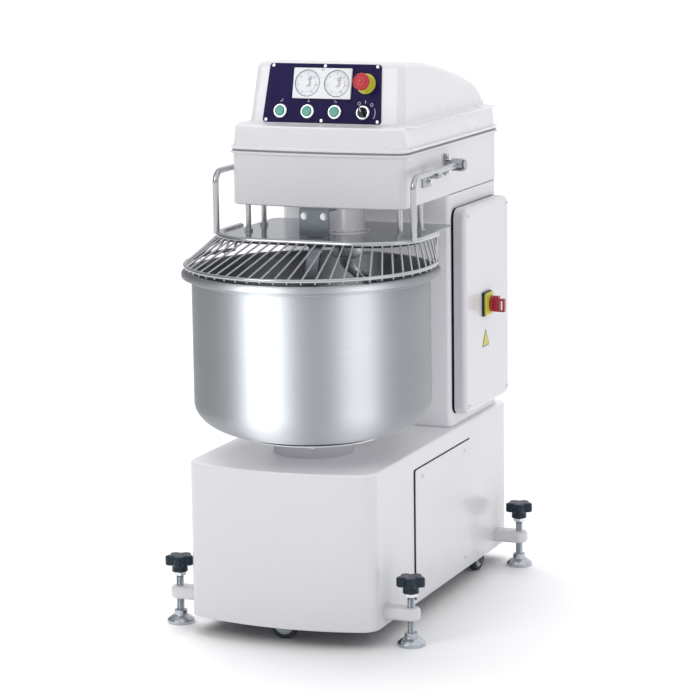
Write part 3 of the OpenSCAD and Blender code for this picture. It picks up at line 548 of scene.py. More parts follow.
BASE_EDGE = 7 * MM
SHEET = 3 * MM
WIDE = 0.2                      # half width of the cutting boxes in the base's top and rear wall
THROUGH = 8 * MM                # how far a cutting box reaches to each side of a wall
SHELF = (1.006, 1.016)          # under and upper side of the motor's shelf
GEAR_HOLE = ((0.205, 0.535), (0.450, 0.990))  # low and high y, z of the gear's hole


def base_outline(grow):
    low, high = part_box("base_shell")
    return housing(high.x + grow, low.y - grow, high.y + grow, 44 * MM, 48 * MM + grow,
                   25 * MM + grow)


def make_base():
    low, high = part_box("base_shell")
    inner, top, foot = -SHEET, high.z, low.z
    under, over = top - 20 * MM, top + 20 * MM
    skin = soften([(inner, top - SHEET, 0), (inner, foot, 1 * MM), (0, foot, 1 * MM),
                   (0, top, BASE_EDGE), (-BASE_EDGE * 2, top, 0)], 6)
    column_low, column_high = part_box("column_shell")
    hub = lathe([(62 * MM, under), (62 * MM, over)], at=centre("bowl_hub").xy)
    column = box_shape((-WIDE, column_low.y + 30 * MM, under),
                       (WIDE, column_high.y - 30 * MM, over))
    access_low, access_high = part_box("access_panel")
    reach = 24 * MM
    side = box_shape((high.x - THROUGH, access_low.y + reach, access_low.z + reach),
                     (high.x + THROUGH, access_high.y - reach, access_high.z - reach))
    shell = carved(swept(base_outline, skin), merged(hub, column, side))
    add("base_housing", shell, "frame", "white_paint", ["base_shell"])


def make_column():
    low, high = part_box("column_shell")
    middle = (low + high) / 2
    size = high - low
    outline = box_plan(size.x, size.y, 14 * MM, 8, middle.xy)
    foot, top = low.z, high.z
    skin = [(-SHEET, top), (-SHEET, foot), (0, foot), (0, top)]
    rear = box_shape((-WIDE, high.y - THROUGH, foot + 39 * MM),
                     (WIDE, high.y + THROUGH, top - 43 * MM))
    gear = box_shape((high.x - THROUGH, *GEAR_HOLE[0]), (high.x + THROUGH, *GEAR_HOLE[1]))
    shell = carved(swept(outline, skin, loop=True), merged(rear, gear))
    motor = centre("motor_pulley")
    reach = 110 * MM
    shelf = box_shape((low.x + SHEET, motor.y - reach, SHELF[0]),
                      (high.x - SHEET, motor.y + reach, SHELF[1]))
    hole = lathe([(45 * MM, 1.0), (45 * MM, 1.03)], 48, motor.xy)
    add("column_housing", merged(shell, carved(shelf, hole)), "frame", "white_paint",
        ["column_shell"])
    weld = [(x, y, foot + 0.5 * MM) for x, y in outline(1 * MM)]
    add("column_foot_bead", tube(weld, 2 * MM, 8, closed=True), "frame", "white_paint")


def side_plate(name, node, seal, edge, corner, shadow_gap):
    """Cover on the right-hand side: a dark seal against the wall, then a plate with soft edges.

    seal is the seal's thickness; the last argument is how far the seal stands out past the plate's front and top,
    where that dark strip is painted shadow of the gap."""
    low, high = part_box(node)
    middle = (low + high) / 2
    place = on_right(low.x, middle.y, middle.z)
    w, h, out = high.y - low.y, high.z - low.z, high.x - low.x
    outline = box_plan(w, h, corner, 10)
    ring = [(-14 * MM, 0), (-0.5 * MM, 0), (-0.5 * MM, seal), (-14 * MM, seal)]
    seal_and_gap_shadow = swept(outline, ring, loop=True)
    # Past the plate's front and top edges the dark seal stands out as painted shadow of the gap.
    for vert in seal_and_gap_shadow.verts:
        if vert.co.x < 0 and outside(vert.co, w, h, corner):
            vert.co.x -= shadow_gap
        if vert.co.y > 0 and outside(vert.co, w, h, corner):
            vert.co.y += shadow_gap * 0.4
    add(node + "_seal", moved(seal_and_gap_shadow, place), "frame", "belt_rubber", look="seal_rubber_and_shade")
    wall = min(2 * MM, (out - seal) * 0.6)
    skin = soften([(-edge - 4 * MM, out - wall, 0), (-wall, out - wall, max(0, edge - wall)),
                   (-wall, seal, 0.4 * MM), (0, seal, 0.6 * MM), (0, out, edge),
                   (-edge * 2, out, 0)], 10)
    add(name, moved(swept(outline, skin), place), "frame", "white_paint", [node])


def outside(point, w, h, corner):
    """True for a point on the outer outline of a rounded rectangle w by h."""
    x, y = abs(point.x) - (w / 2 - corner), abs(point.y) - (h / 2 - corner)
    return max(x, y, math.hypot(max(x, 0), max(y, 0))) > corner - 3 * MM


def make_side_covers():
    side_plate("access_cover", "access_panel", 1.2 * MM, 1.0 * MM, 8 * MM, 8 * MM)
    side_plate("switchgear_box", "switchgear_cover", 6 * MM, 14 * MM, 26 * MM, 0.4 * MM)


def make_warning_plate():
    """Blank yellow triangle with a dark border, low on the switchgear cover."""
    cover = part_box("switchgear_cover")[1].x
    isolator = centre("isolator_base")
    place = on_right(cover, isolator.y - 3 * MM, isolator.z - 101 * MM)
    side = 56 * MM

    def triangle(grow):
        size = side / math.sqrt(3) + grow * 2
        corners = [(size * math.sin(a), size * math.cos(a), 3 * MM)
                   for a in (0, -math.tau / 3, math.tau / 3)]
        return soften(corners, 4, closed=True)

    rim = prism(triangle, 0, 0.5 * MM, 0.2 * MM)
    add("warning_border", moved(rim, place), "frame", "black_plastic")
    field = prism(lambda grow: triangle(grow - 2.2 * MM), 0.3 * MM, 0.8 * MM, 0.1 * MM)
    add("warning_field", moved(field, place), "frame", "yellow_plastic")


# ---------------------------------------------------------------- head and top cover

HEAD_BOW = 20 * MM
RIM_OUT = 7.5 * MM
HEAD_EDGE = 5 * MM


def head_size():
    """Half width, front, rear, bottom and top of the head's walls, without its rim."""
    low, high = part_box("head_shell")
    return high.x - RIM_OUT, low.y + 3.6 * MM, high.y - 10 * MM, low.z, high.z


def head_outline(grow):
    """Outline of the head grown outward; the rim stands out less in front and more behind."""
    half_w, front_y, rear_y, _, _ = head_size()
    ahead, behind = (grow * 0.48, grow * 1.33) if grow > 0 else (grow, grow)
    return housing(half_w + grow, front_y - ahead, rear_y + behind, HEAD_BOW, 30 * MM + grow,
                   max(14 * MM + grow, 1 * MM))


def make_head():
    _, _, _, foot, top = head_size()
    inner, rim = -SHEET, RIM_OUT
    skin = soften([(inner - 9 * MM, foot + SHEET, 0), (inner, foot + SHEET, 2 * MM),
                   (inner, top, 1 * MM), (rim, top, 3.4 * MM), (rim, top - 7 * MM, 3.4 * MM),
                   (0, top - 7.4 * MM, 0.8 * MM), (0, foot, HEAD_EDGE),
                   (-HEAD_EDGE * 2, foot, 0)], 6)
    add("head_housing", swept(head_outline, skin), "frame", "white_paint", ["head_shell"])
    gap_low, gap_high = top - 0.4 * MM, top + 5.4 * MM
    seal = [(-4 * MM, gap_low), (3.2 * MM, gap_low), (3.2 * MM, gap_high), (-4 * MM, gap_high)]
    # The seal's dark colour is partly its own grey and partly painted shade of the groove between the rims.
    add("cover_seal", swept(head_outline, seal, loop=True), "frame", "belt_rubber",
        look="cover_seal")


SKIRT_TOP = 67 * MM          # height of the cover's ledge above the top of the head
CONSOLE_HALF_W = 216 * MM
CONSOLE_FRONT = -120 * MM
CONSOLE_REAR = 505 * MM
CONSOLE_ROUND = 17 * MM
CONSOLE_LEAN = 14            # degrees that the console's front leans back
SIDE_DRAFT = 0.075
WALL = 6 * MM                # of the cover's skirt; its ledge is 5 mm thick
COVE = 9 * MM                # hollow round between the ledge and the console
# y and height of the bends in the console's crown
CROWN = millimetres([(-90, 1440), (60, 1434), (205, 1409), (322, 1384), (447, 1348),
                     (505, 1288), (540, 1252)])


def crown(y):
    """Height of the console's crown at y, with its bends smoothed."""
    reach = 22 * MM
    total = 0.0
    samples = 9
    for k in range(samples):
        at = min(max(y + reach * (2 * k / (samples - 1) - 1), CROWN[0][0]), CROWN[-1][0])
        for (y0, z0), (y1, z1) in zip(CROWN, CROWN[1:]):
            if at <= y1:
                total += z0 + (z1 - z0) * (at - y0) / (y1 - y0)
                break
    return total / samples


def console_plan(grow):
    """Plan of the console's foot: rounded corners joined by evenly divided straight runs."""
    corner = 20 * MM
    x = CONSOLE_HALF_W - corner
    front, rear = CONSOLE_FRONT + corner, CONSOLE_REAR - corner
    bends = [(x, front, -90, 40), (x, rear, 0, 26), (-x, rear, 90, 40), (-x, front, 180, 26)]
    arcs = [arc(cx, cy, corner + grow, turn, turn + 90, 10) for cx, cy, turn, _ in bends]
    plan = []
    for i, (_, _, _, pieces) in enumerate(bends):
        (x0, y0), (x1, y1) = arcs[i][-1], arcs[(i + 1) % 4][0]
        plan += arcs[i]
        plan += [(x0 + (x1 - x0) * k / pieces, y0 + (y1 - y0) * k / pieces)
                 for k in range(1, pieces)]
    return plan


def console_ring(lift, grow, drop, rise=0.0):
    """Ring of the console: lift is how far up its wall, grow outward, drop below the crown."""
    foot = head_size()[4] + SKIRT_TOP
    lean = math.tan(math.radians(CONSOLE_LEAN))
    ring = []
    for px, py in console_plan(grow):
        share = max(0, py - CONSOLE_FRONT) / (CONSOLE_REAR - CONSOLE_FRONT)
        tall = max(crown(py) - foot, 1 * MM)
        wall = max(tall - drop * min(1, tall / (30 * MM)), 0.3 * MM)
        z = foot + wall * lift + min(rise, wall * 0.5)
        up = z - foot
        y = py + up * lean * max(0, 1 - share * 6)
        ring.append((px * (1 - SIDE_DRAFT * up / CONSOLE_HALF_W), y, z))
    return ring


def make_cover():
    """Moulded top cover: a rim, a drafted skirt with a soft shoulder, and the console on top."""
    top = head_size()[4]
    under = top + 5 * MM
    ledge = top + SKIRT_TOP
    skirt = soften([(-WALL, ledge - 5 * MM, 0), (-WALL, under, 0.5 * MM),
                    (RIM_OUT, under, 3.6 * MM), (RIM_OUT, under + 8 * MM, 3.6 * MM),
                    (-0.6 * MM, under + 8.6 * MM, 2 * MM), (-7 * MM, ledge, 15 * MM),
                    (-27 * MM, ledge, 0)], 8)
    rings = [[(x, y, z - sink) for x, y, z in console_ring(0, COVE + grow, CONSOLE_ROUND)]
             for grow, sink in ((26 * MM, 2.5 * MM), (14 * MM, 0.2 * MM))]
    rings += [console_ring(0, COVE * (1 - k / 6) ** 2, CONSOLE_ROUND, COVE * (k / 6) ** 2)
              for k in range(6)]
    rings += [console_ring(0.08 + 0.92 * k / 10, 0, CONSOLE_ROUND) for k in range(11)]
    for k in range(1, 9):
        c, s = around(1, 90 * k / 8)
        rings.append(console_ring(1, -CONSOLE_ROUND * (1 - c), CONSOLE_ROUND * (1 - s)))
    edge = rings[-1]
    middle = (CONSOLE_FRONT + CONSOLE_REAR) / 2
    for k in range(1, 15):
        share = 1 - k / 15
        inner = [(x * share, middle + (y - middle) * share) for x, y, _ in edge]
        rings.append([(x, y, crown(y)) for x, y in inner])
    cover = merged(swept(head_outline, skirt), loft(bmesh.new(), rings))
    add("cover_moulding", cover, "frame", "cover_white", ["top_cover"])


# ---------------------------------------------------------------- turned parts and screws

def ring_solid(corners, steps=64, **how):
    """Turned ring from the closed section (radius, z, rounding) in millimetres."""
    return lathe(soften(millimetres(corners), 4, closed=True), steps, loop=True, **how)


def turned(corners, steps=64):
    """Turned solid from the section (radius, z, rounding) in millimetres, foot to top."""
    return lathe(soften(millimetres(corners), 4), steps)


def hex_bolt(radius, height, washer=1.35):
    """Hexagon head with a chamfered top on a thin washer, standing on w = 0."""
    edge = height * 0.12
    head = swept(lambda grow: arc(0, 0, radius + grow, 0, 360, 6, False),
                 [(0, 0), (0, height - edge), (-edge, height)])
    return prism(lambda grow: arc(0, 0, radius * washer + grow, 0, 360, 32, False), 0,
                 height * 0.28, height * 0.08, bm=head)


def bolt_circle(count, radius, first, axis, z):
    """Places of bolts on a circle about an upright axis, the first at an angle in degrees."""
    return [Matrix.Translation((*around(radius, first + 360 / count * k, axis.x, axis.y), z))
            for k in range(count)]


def pan_screw(radius, height):
    """Pan head with a cross recess, standing on w = 0."""
    dome = [(radius * math.cos(t) ** 0.6, height * (0.35 + 0.65 * math.sin(t)))
            for t in (math.radians(a) for a in range(0, 86, 8))]
    arm, long = radius * 0.16, radius * 0.58
    cross = [box_shape((-x, -y, height * 0.45), (x, y, height * 2))
             for x, y in ((long, arm), (arm, long))]
    return carved(lathe([(radius, 0)] + dome, 32), *cross)


def islands(node):
    """Points of each separate solid of a CAD node."""
    bm = cad_mesh(node)
    left = set(bm.verts)
    found = []
    for first in bm.verts:
        if first not in left:
            continue
        left.remove(first)
        stack = [first]
        group = []
        while stack:
            vert = stack.pop()
            group.append(vert.co.copy())
            for edge in vert.link_edges:
                other = edge.other_vert(vert)
                if other in left:
                    left.remove(other)
                    stack.append(other)
        found.append(group)
    bm.free()
    return found


PANEL_LOW = 1.28                # screws above this height are the panel's
SIDE_NEAR = 0.24                # screws further right than this are in the side covers


def make_cover_screws():
    """Pan heads in place of the plain ones: on the panel, the side covers and the rear cover."""
    sides = {"panel": [], "right": [], "rear": []}
    frames = {"panel": PANEL, "right": on_right(0),
              "rear": axes((-1, 0, 0), (0, 0, 1), (0, 1, 0))}
    for points in islands("cover_screws"):
        middle = sum(points, Vector()) / len(points)
        side = "right" if middle.x > SIDE_NEAR else "rear"
        if middle.z > PANEL_LOW:
            side = "panel"
        inverse = frames[side].inverted()
        low, high = span([inverse @ p for p in points])
        spot, size = (low + high) / 2, high - low
        foot = Matrix.Translation((spot.x, spot.y, spot.z - size.z / 2))
        turn = Matrix.Rotation(17.0 * len(sides[side]), 4, "Z")
        sides[side].append((frames[side] @ foot @ turn, size))
    for side, rows in sides.items():
        size = rows[0][1]
        screws = copies(pan_screw(size.x / 2, size.z), [place for place, _ in rows])
        add(side + "_screws", screws, "frame", "zinc", ["cover_screws"])


# ---------------------------------------------------------------- control panel

def printed(shapes, place, thick=0.12 * MM):
    """Thin printed marks from outlines; the outlines are lists of points."""
    bm = bmesh.new()
    for points in shapes:
        loft(bm, [[(x, y, z) for x, y in points] for z in (-0.05 * MM, thick)])
    return moved(bm, place)


def bar(x, y, w, h, turn=0.0):
    """Outline of a small bar, turned in degrees about its middle."""
    c, s = around(1, turn)
    corners = [(-w / 2, -h / 2), (w / 2, -h / 2), (w / 2, h / 2), (-w / 2, h / 2)]
    return [(x + a * c - b * s, y + a * s + b * c) for a, b in corners]


def ring_marks(x, y, r, wide, a0=0, a1=360, pieces=16):
    """Short bars that make up a thin ring or part of one."""
    turns = [a0 + (a1 - a0) / pieces * k for k in range(pieces + 1)]
    return [[around(q, t, x, y) for q, t in ((r, t0), (r + wide, t0), (r + wide, t1), (r, t1))]
            for t0, t1 in zip(turns, turns[1:])]


PANEL_FLARE = 5.2 * MM       # how much wider each half is at its foot than midway


def make_panel():
    low, high = local_box("control_panel", PANEL)
    w, h = high.x - low.x - 2 * PANEL_FLARE, high.y - low.y

    def outline(grow):
        return [(x * (1 - PANEL_FLARE * y * 4 / (w * h)), y)
                for x, y in rounded_box(w + 2 * grow, h + 2 * grow, 8 * MM + grow)]

    add("panel_plate", moved(prism(outline, 0, PANEL_T, 0.8 * MM), PANEL), "frame",
        "navy_panel", ["control_panel"])
    marks = []
    above = 26 * MM
    for k, node in enumerate(BUTTONS):
        spot = panel_spot(node)
        marks += [bar(spot.x, spot.y + above, 7 * MM, 1.1 * MM)]
        marks += [bar(spot.x - (k - 1) * 3 * MM, spot.y + above + 4 * MM, 1.1 * MM, 4 * MM)]
    spot = panel_spot("selector_knob")
    marks += ring_marks(spot.x - 13 * MM, spot.y + 23.5 * MM, 3.2 * MM, 1.1 * MM)
    marks += [bar(spot.x + 4 * MM, spot.y + 28 * MM, 1.6 * MM, 7 * MM)]
    marks += ring_marks(spot.x + 22 * MM, spot.y + 21 * MM, 3.2 * MM, 1.1 * MM)
    marks += ring_marks(spot.x + 2 * MM, spot.y, 30 * MM, 1.3 * MM, -27, 22)
    face = PANEL @ Matrix.Translation((0, 0, PANEL_T))
    add("panel_marks", printed(marks, face), "frame", "dial_white", look="white_ink")


def number(value, size):
    """Raised outlines of a number, centred, as a bmesh lying in the local XY plane."""
    curve = bpy.data.curves.new("number", "FONT")
    curve.body = str(value)
    curve.size = size
    curve.align_x = "CENTER"
    curve.align_y = "CENTER"
    curve.extrude = 0.05 * MM
    curve.resolution_u = 3
    holder = placed("number", curve)
    bm = evaluated(holder)
    bpy.data.objects.remove(holder)
    bpy.data.curves.remove(curve)
    return bm


TICKS = 31                   # on a timer's dial, with a number at every fifth
TICK_FIRST = 240             # degrees of the first one
TICK_STEP = 10
WELL_R = 35 * MM             # round recess of a dial and its depth
WELL = 1.5 * MM


def dial_ink(x, y, floor):
    """Ticks, numbers and a dark ring of a timer's dial about (x, y); the ring along the edge of the recess is
    painted shadow of that edge.
    """
    # Dark ring at the recess's edge: painted shadow, not print.
    marks = ring_marks(x, y, 33.2 * MM, 1.6 * MM, 0, 360, 72)
    turns = [TICK_FIRST - k * TICK_STEP for k in range(TICKS)]
    for k, turn in enumerate(turns):
        long = 2.8 * MM if k % 5 else 4.6 * MM
        marks.append(bar(*around(31.8 * MM - long / 2, turn, x, y), long, 0.8 * MM, turn))
    dial = printed(marks, Matrix.Translation((0, 0, floor + 0.3 * MM)))
    numbers = [moved(number(k, 5.2 * MM),
                     Matrix.Translation((*around(25 * MM, turns[k], x, y), floor + 0.32 * MM)))
               for k in range(0, TICKS, 5)]
    return merged(dial, *numbers)


def make_timers():
    low, high = local_box("timer_housing", PANEL)
    middle = (low + high) / 2
    floor = high.z - WELL
    dials = {side: panel_spot("timer_knob_" + side) for side in ("left", "right")}
    outline = box_plan(high.x - low.x, high.y - low.y, 3 * MM, at=middle.xy)
    wells = [lathe([(WELL_R, floor), (WELL_R, high.z + 5 * MM)], 96, spot.xy)
             for spot in dials.values()]
    plate = carved(prism(outline, PANEL_T, high.z, 1.6 * MM), *wells)
    add("timer_plate", moved(plate, PANEL), "frame", "dial_white", ["timer_housing"])
    # Dark rim just outside the timer plate: painted shadow round its edges.
    rim = prism(lambda grow: outline(grow + 1.6 * MM), PANEL_T, PANEL_T + 1.5 * MM, 0.5 * MM)
    add("timer_gasket", moved(rim, PANEL), "frame", "belt_rubber", look="seal_rubber_and_shade")
    ink_and_shade = bmesh.new()
    z = floor / MM
    for side, spot in dials.items():
        face = ring_solid([(5, z, 0), (34.6, z, 0), (34.6, z + 0.25, 0.1), (5, z + 0.25, 0.1)],
                          96, at=spot.xy)
        add(side + "_dial_face", moved(face, PANEL), "frame", "dial_white", look="dial_face")
        ink_and_shade = merged(ink_and_shade, dial_ink(spot.x, spot.y, floor))
    small = [bar(middle.x, high.y - 5.5 * MM, 9 * MM, 1.6 * MM)]
    ink_and_shade = merged(ink_and_shade, printed(small, Matrix.Translation((0, 0, high.z))))
    add("timer_marks", moved(ink_and_shade, PANEL), "frame", "dial_white", look="dial_ink")
    for side in dials:
        node = "timer_knob_" + side
        add(side + "_timer_pointer", from_cad(node, 0.5 * MM), side + "_timer", "dial_white",
            [node])
        low, high = local_box(node, PANEL)
        level, middle, tip = knob_end(node, (low.z + high.z) / 2, 12 * MM)
        turn = math.degrees(math.atan2(tip.y, tip.x))
        line = bar(*around(10 * MM, turn, *middle), 16.2 * MM, 1.2 * MM, turn)
        line = printed([line], PANEL @ Matrix.Translation((0, 0, level)), 0.15 * MM)
        add(side + "_timer_line", line, side + "_timer", "black_plastic")


def knob_end(node, above, beyond, upper=False):
    """Highest level, the knob's middle, and the way to its end, in the panel's frame.

    The end is made up of the points above a level and beyond a radius."""
    points = local_points(node, PANEL)
    low, high = span(points)
    middle = ((low + high) / 2).xy
    ends = [p for p in points if p.z > above and (p.xy - middle).length > beyond
            and (p.y > middle.y or not upper)]
    tip = sum((p.xy - middle for p in ends), Vector((0, 0))) / len(ends)
    return max(p.z for p in ends), middle, tip


def make_round_controls():
    collar = [(13.4, 3, 0.2), (19, 3, 0.3), (19, 7.5, 2.2), (16.8, 10, 1.4), (14.2, 10, 0.5),
              (13.4, 9.2, 0.2)]
    bezels = [moved(ring_solid(collar), on_panel(n)) for n in (*BUTTONS, "selector_knob")]
    add("button_bezels", merged(*bezels), "frame", "zinc", ["pilot_collars"])
    for node in BUTTONS:
        cap = turned([(13.1, 9.2, 0), (13.1, 14.2, 1.6), (9.5, 13.7, 4), (0.4, 13.4, 0)])
        side = node.split("_")[1]
        add(side + "_button_cap", moved(cap, on_panel(node)), side + "_button", "green_plastic",
            [node])
    place = on_panel("estop_button")
    ring = ring_solid([(10, 3, 0), (26.5, 3, 0.2), (26.5, 5.5, 1.2), (15.2, 5.5, 1.5),
                       (15, 21, 1.2), (10, 21, 0)], 96)
    add("estop_ring", moved(ring, place), "frame", "yellow_plastic")
    dome = [(8.5, 10), (8.5, 30), (11, 31), (18.4, 31.1)]
    dome += [(x, y + 37) for x, y in arc(14.5, 0, 8, -50, 74, 10)]
    for k in range(11):
        x, y = around(46, 72 + 1.75 * k)
        dome.append((x, y + 1.8 - 0.8 * math.exp(-((k - 4) / 1.1) ** 2)))
    add("estop_mushroom", moved(lathe(millimetres(dome), 72), place), "estop", "red_plastic",
        ["estop_button"])
    knob = from_cad("selector_knob", 0.6 * MM)
    add("selector_grip", knob, "selector", "black_plastic", ["selector_knob"])
    top = local_box("selector_knob", PANEL)[1].z
    _, middle, tip = knob_end("selector_knob", top - 1 * MM, 10 * MM, True)
    turn = math.degrees(math.atan2(tip.y, tip.x))
    line = printed([bar(*(middle + tip * 0.5), 12 * MM, 2.0 * MM, turn)],
                   PANEL @ Matrix.Translation((0, 0, top)), 0.15 * MM)
    add("selector_line", line, "selector", "dial_white", look="white_ink")


def make_isolator():
    low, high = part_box("isolator_base")
    middle = (low + high) / 2
    place = on_right(low.x, middle.y, middle.z)

    def plate(size, *depths):
        return moved(prism(box_plan(size, size, 5 * MM), *depths), place)

    w = high.y - low.y
    add("isolator_back", plate(w, 0, 6 * MM, 1.4 * MM), "frame", "black_plastic",
        ["isolator_base"])
    ring = moved(ring_solid([(10, 12, 0), (25, 12, 0), (25, 16, 1), (10, 16, 0.5)]), place)
    add("isolator_plate", merged(plate(w - 6 * MM, 6 * MM, 12 * MM, 1.6 * MM), ring), "frame",
        "yellow_plastic")
    low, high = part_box("isolator_handle")
    y = (high.y - low.y) / 2
    notch = box_shape((high.x - 16 * MM, middle.y - y, high.z - 8 * MM),
                      (high.x + 5 * MM, middle.y + y, high.z + 5 * MM))
    slot = box_shape((high.x - 13 * MM, middle.y - y, low.z + 4 * MM),
                     (high.x - 5 * MM, middle.y + y, high.z - 13 * MM))
    add("isolator_grip", carved(from_cad("isolator_handle", 1.6 * MM, 3), notch, slot),
        "isolator", "red_plastic", ["isolator_handle"], look="isolator_red")


# ---------------------------------------------------------------- bowl, tools and what holds them

def make_bowl():
    low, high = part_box("bowl")
    foot, rim_top, rim_r = low.z, high.z, high.x
    wall_r, flat_r, turn_z, wall = 306 * MM, 165 * MM, foot + 85 * MM, 3 * MM

    def side(grow):
        turns = (around(1, -90 + 90 * k / 24) for k in range(25))
        return [(flat_r + (wall_r - flat_r + grow) * c, turn_z + (85 * MM + grow) * s)
                for c, s in turns]

    bead = rim_top - 15.5 * MM
    band = wall_r + 6 * MM
    rim = soften([(wall_r, turn_z + 20 * MM, 0), (wall_r, rim_top - 25 * MM, 1.5 * MM),
                  (band, rim_top - 22.5 * MM, 2 * MM), (band, bead, 0.6 * MM),
                  (rim_r, bead, 4 * MM), (rim_r, rim_top, 7 * MM),
                  (wall_r + 4 * MM, rim_top, 4 * MM), (wall_r - wall, rim_top - 6 * MM, 8 * MM),
                  (wall_r - wall, turn_z + 20 * MM, 0)], 6)
    profile = [(20 * MM, foot), (flat_r * 0.6, foot)] + side(0) + rim
    profile += side(-wall)[::-1] + [(flat_r * 0.6, foot + wall), (20 * MM, foot + wall)]
    add("bowl_body", lathe(profile, 160, centre("bowl").xy), "bowl_rotor", "stainless",
        ["bowl"], look="bowl_steel", crisp=60)


def make_bowl_hub():
    axis = centre("bowl_hub")
    foot, top = (corner.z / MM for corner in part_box("bowl_hub"))
    seal_and_gap_shadow = ring_solid([(100, top - 5, 0), (158, top - 5, 0), (158, top, 0), (100, top, 0)], 96,
                        at=axis.xy)
    add("hub_gasket", seal_and_gap_shadow, "bowl_rotor", "belt_rubber", look="seal_rubber_and_shade")
    plate = ring_solid([(30, top - 9, 0), (182, top - 9, 1), (182, top - 5, 1),
                        (30, top - 5, 0)], 128, at=axis.xy)
    boss = ring_solid([(28, foot + 280, 0), (70, foot + 280, 2), (70, top - 8, 1),
                       (28, top - 8, 0)], 96, at=axis.xy)
    shaft = turned([(29, foot, 0), (30, foot + 1, 0), (30, top - 2, 0.5), (28, top - 1, 0)], 48)
    # The disc's bright look is painted light against the shadow under the bowl.
    add("hub_disc", merged(plate, boss, moved(shaft, upright(axis))), "bowl_rotor", "steel",
        ["bowl_hub"], look="steel_painted_light")
    flip = Matrix.Rotation(math.pi, 4, "X")
    places = [spot @ flip for spot in bolt_circle(8, 166 * MM, 22.5, axis, (top - 9) * MM)]
    add("hub_bolts", copies(hex_bolt(6 * MM, 4.5 * MM), places), "bowl_rotor", "steel",
        look="zinc")


SPIRAL_TURN = 430            # degrees from the hub to the tip, the first at SPIRAL_FIRST
SPIRAL_FIRST = 150


def make_spiral():
    """Spiral bar that widens from its hub, then tucks in and tapers to its tip."""
    low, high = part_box("spiral_tool")
    axis = centre("spiral_shaft")
    reach = 102 * MM
    bar_r = 15 * MM
    top_z = high.z - 32 * MM
    foot_z = low.z + bar_r
    path, radii = [], []
    count = 200
    for k in range(count + 1):
        u = k / count
        grow = 1 - (1 - min(1, u / 0.42)) ** 2
        tuck = 1 - 0.2 * (u - 0.85) / 0.15 if u > 0.85 else 1
        spot = around(reach * grow * tuck, SPIRAL_FIRST - SPIRAL_TURN * u, axis.x, axis.y)
        path.append((*spot, top_z + (foot_z - top_z) * u))
        taper = max(0, (u - 0.9) / 0.1)
        radii.append(bar_r * (1 - 0.38 * taper ** 1.6))
    z = high.z / MM
    hub = turned([(30, z - 44, 0), (42, z - 38, 6), (42, z - 1, 1), (41, z, 0)])
    add("spiral_bar", merged(tube(path, radii, 24), moved(hub, upright(axis))), "spiral_rotor",
        "stainless", ["spiral_tool"], look="tool_steel")


def make_spindle():
    low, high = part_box("spindle_housing")
    axis = (low + high) / 2
    z0, z1 = low.z / MM, high.z / MM
    sleeve = ring_solid([(36, z0, 0.3), (62, z0, 0.8), (62, z0 + 5, 1.4), (48, z0 + 5.5, 4),
                         (48, z1, 0.3), (36, z1, 0.3)], 96, at=axis.xy)
    add("spindle_sleeve", sleeve, "frame", "white_paint", ["spindle_housing"])
    bolts = copies(hex_bolt(3.6 * MM, 3.2 * MM),
                   bolt_circle(6, 55.5 * MM, 20, axis, low.z + 5 * MM))
    add("spindle_bolts", bolts, "frame", "zinc")


WIRE_GAPS = 38               # between the guard's wires
RING_PAST = 28               # degrees that its ring goes past a half circle at each end


def make_wire_ends():
    """Short stubs under the guard's ring where its wires end."""
    low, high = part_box("guard_grille")
    bowl = centre("bowl")
    stubs = bmesh.new()
    for k in range(1, WIRE_GAPS):
        turn = -90 + (2 * k / WIRE_GAPS - 1) * (90 + RING_PAST)
        spot = Vector((*around(high.x - 5 * MM, turn, bowl.x, bowl.y), low.z + 5 * MM))
        tube([spot, spot - Vector((0, 0, 7 * MM))], 2.2 * MM, 8, stubs)
    add("guard_wire_ends", stubs, "guard", "stainless_wire")


# name, CAD node, body, slot, edge in mm, its segments, look or None
CAD_SHAPES = [
    ("spiral_spindle", "spiral_shaft", "spiral_rotor", "steel", 0.8, 2, None),
    ("splash_shield", "splash_plate", "frame", "stainless", 1, 2, "plate_steel"),
    ("splash_rods", "splash_plate_rods", "frame", "stainless_wire", 0.5, 2, None),
    # the breaker blade's darker look paints the shade under the head
    ("breaker_blade", "breaker_bar", "frame", "stainless", 2.2, 4, "stainless_painted_shade"),
    ("hinge_brackets", "guard_brackets", "frame", "stainless", 1.0, 3, None),
    ("bracket_hex_bolts", "bracket_bolts", "frame", "zinc", 0.4, 2, None),
    ("bowl_collar", "bowl_bearing_housing", "frame", "white_paint", 3, 4, None),
    ("castor_yoke", "castor_fork", "castor", "zinc", 1, 2, None),
    ("service_cover", "rear_cover", "frame", "white_paint", 0.7, 2, None),
    ("gland", "cable_gland", "frame", "black_plastic", 0.6, 2, None),
]


def make_cad_shapes():
    for name, node, body, slot, edge, segments, look in CAD_SHAPES:
        add(name, from_cad(node, edge * MM, segments), body, slot, [node], look)
    for name, node, edge, segments, sharp, crisp in (
            ("guard_tubes", "guard_frame", 0.6, 2, 50, 50),
            ("guard_wires", "guard_grille", 0.4, 1, 80, 60)):
        add(name, from_cad(node, edge * MM, segments, sharp), "guard", "stainless_wire",
            [node], crisp=crisp)


# ---------------------------------------------------------------- feet and wheels

def thread(radius, pitch, depth, low, high, steps=24, per_turn=6):
    """Helical screw thread from z low to high, closed at both ends."""
    rows = max(2, round((high - low) / pitch * per_turn))
    rings = []
    for i in range(rows + 1):
        z = low + (high - low) * i / rows
        fade = min(1, (z - low) / pitch, (high - z) / pitch)
        ring = []
        for k in range(steps):
            phase = (z / pitch - k / steps) % 1
            crest = abs(2 * phase - 1)
            r = radius - depth * min(1, max(0, crest * 1.3 - 0.15)) * max(0.15, fade)
            ring.append((*around(r, 360 * k / steps), z))
        rings.append(ring)
    return loft(bmesh.new(), rings)


LOBES = 5
LOBE_R = 13 * MM
LOBE_OUT = 25 * MM           # from the knob's axis to a lobe's
CORE_R = 27 * MM


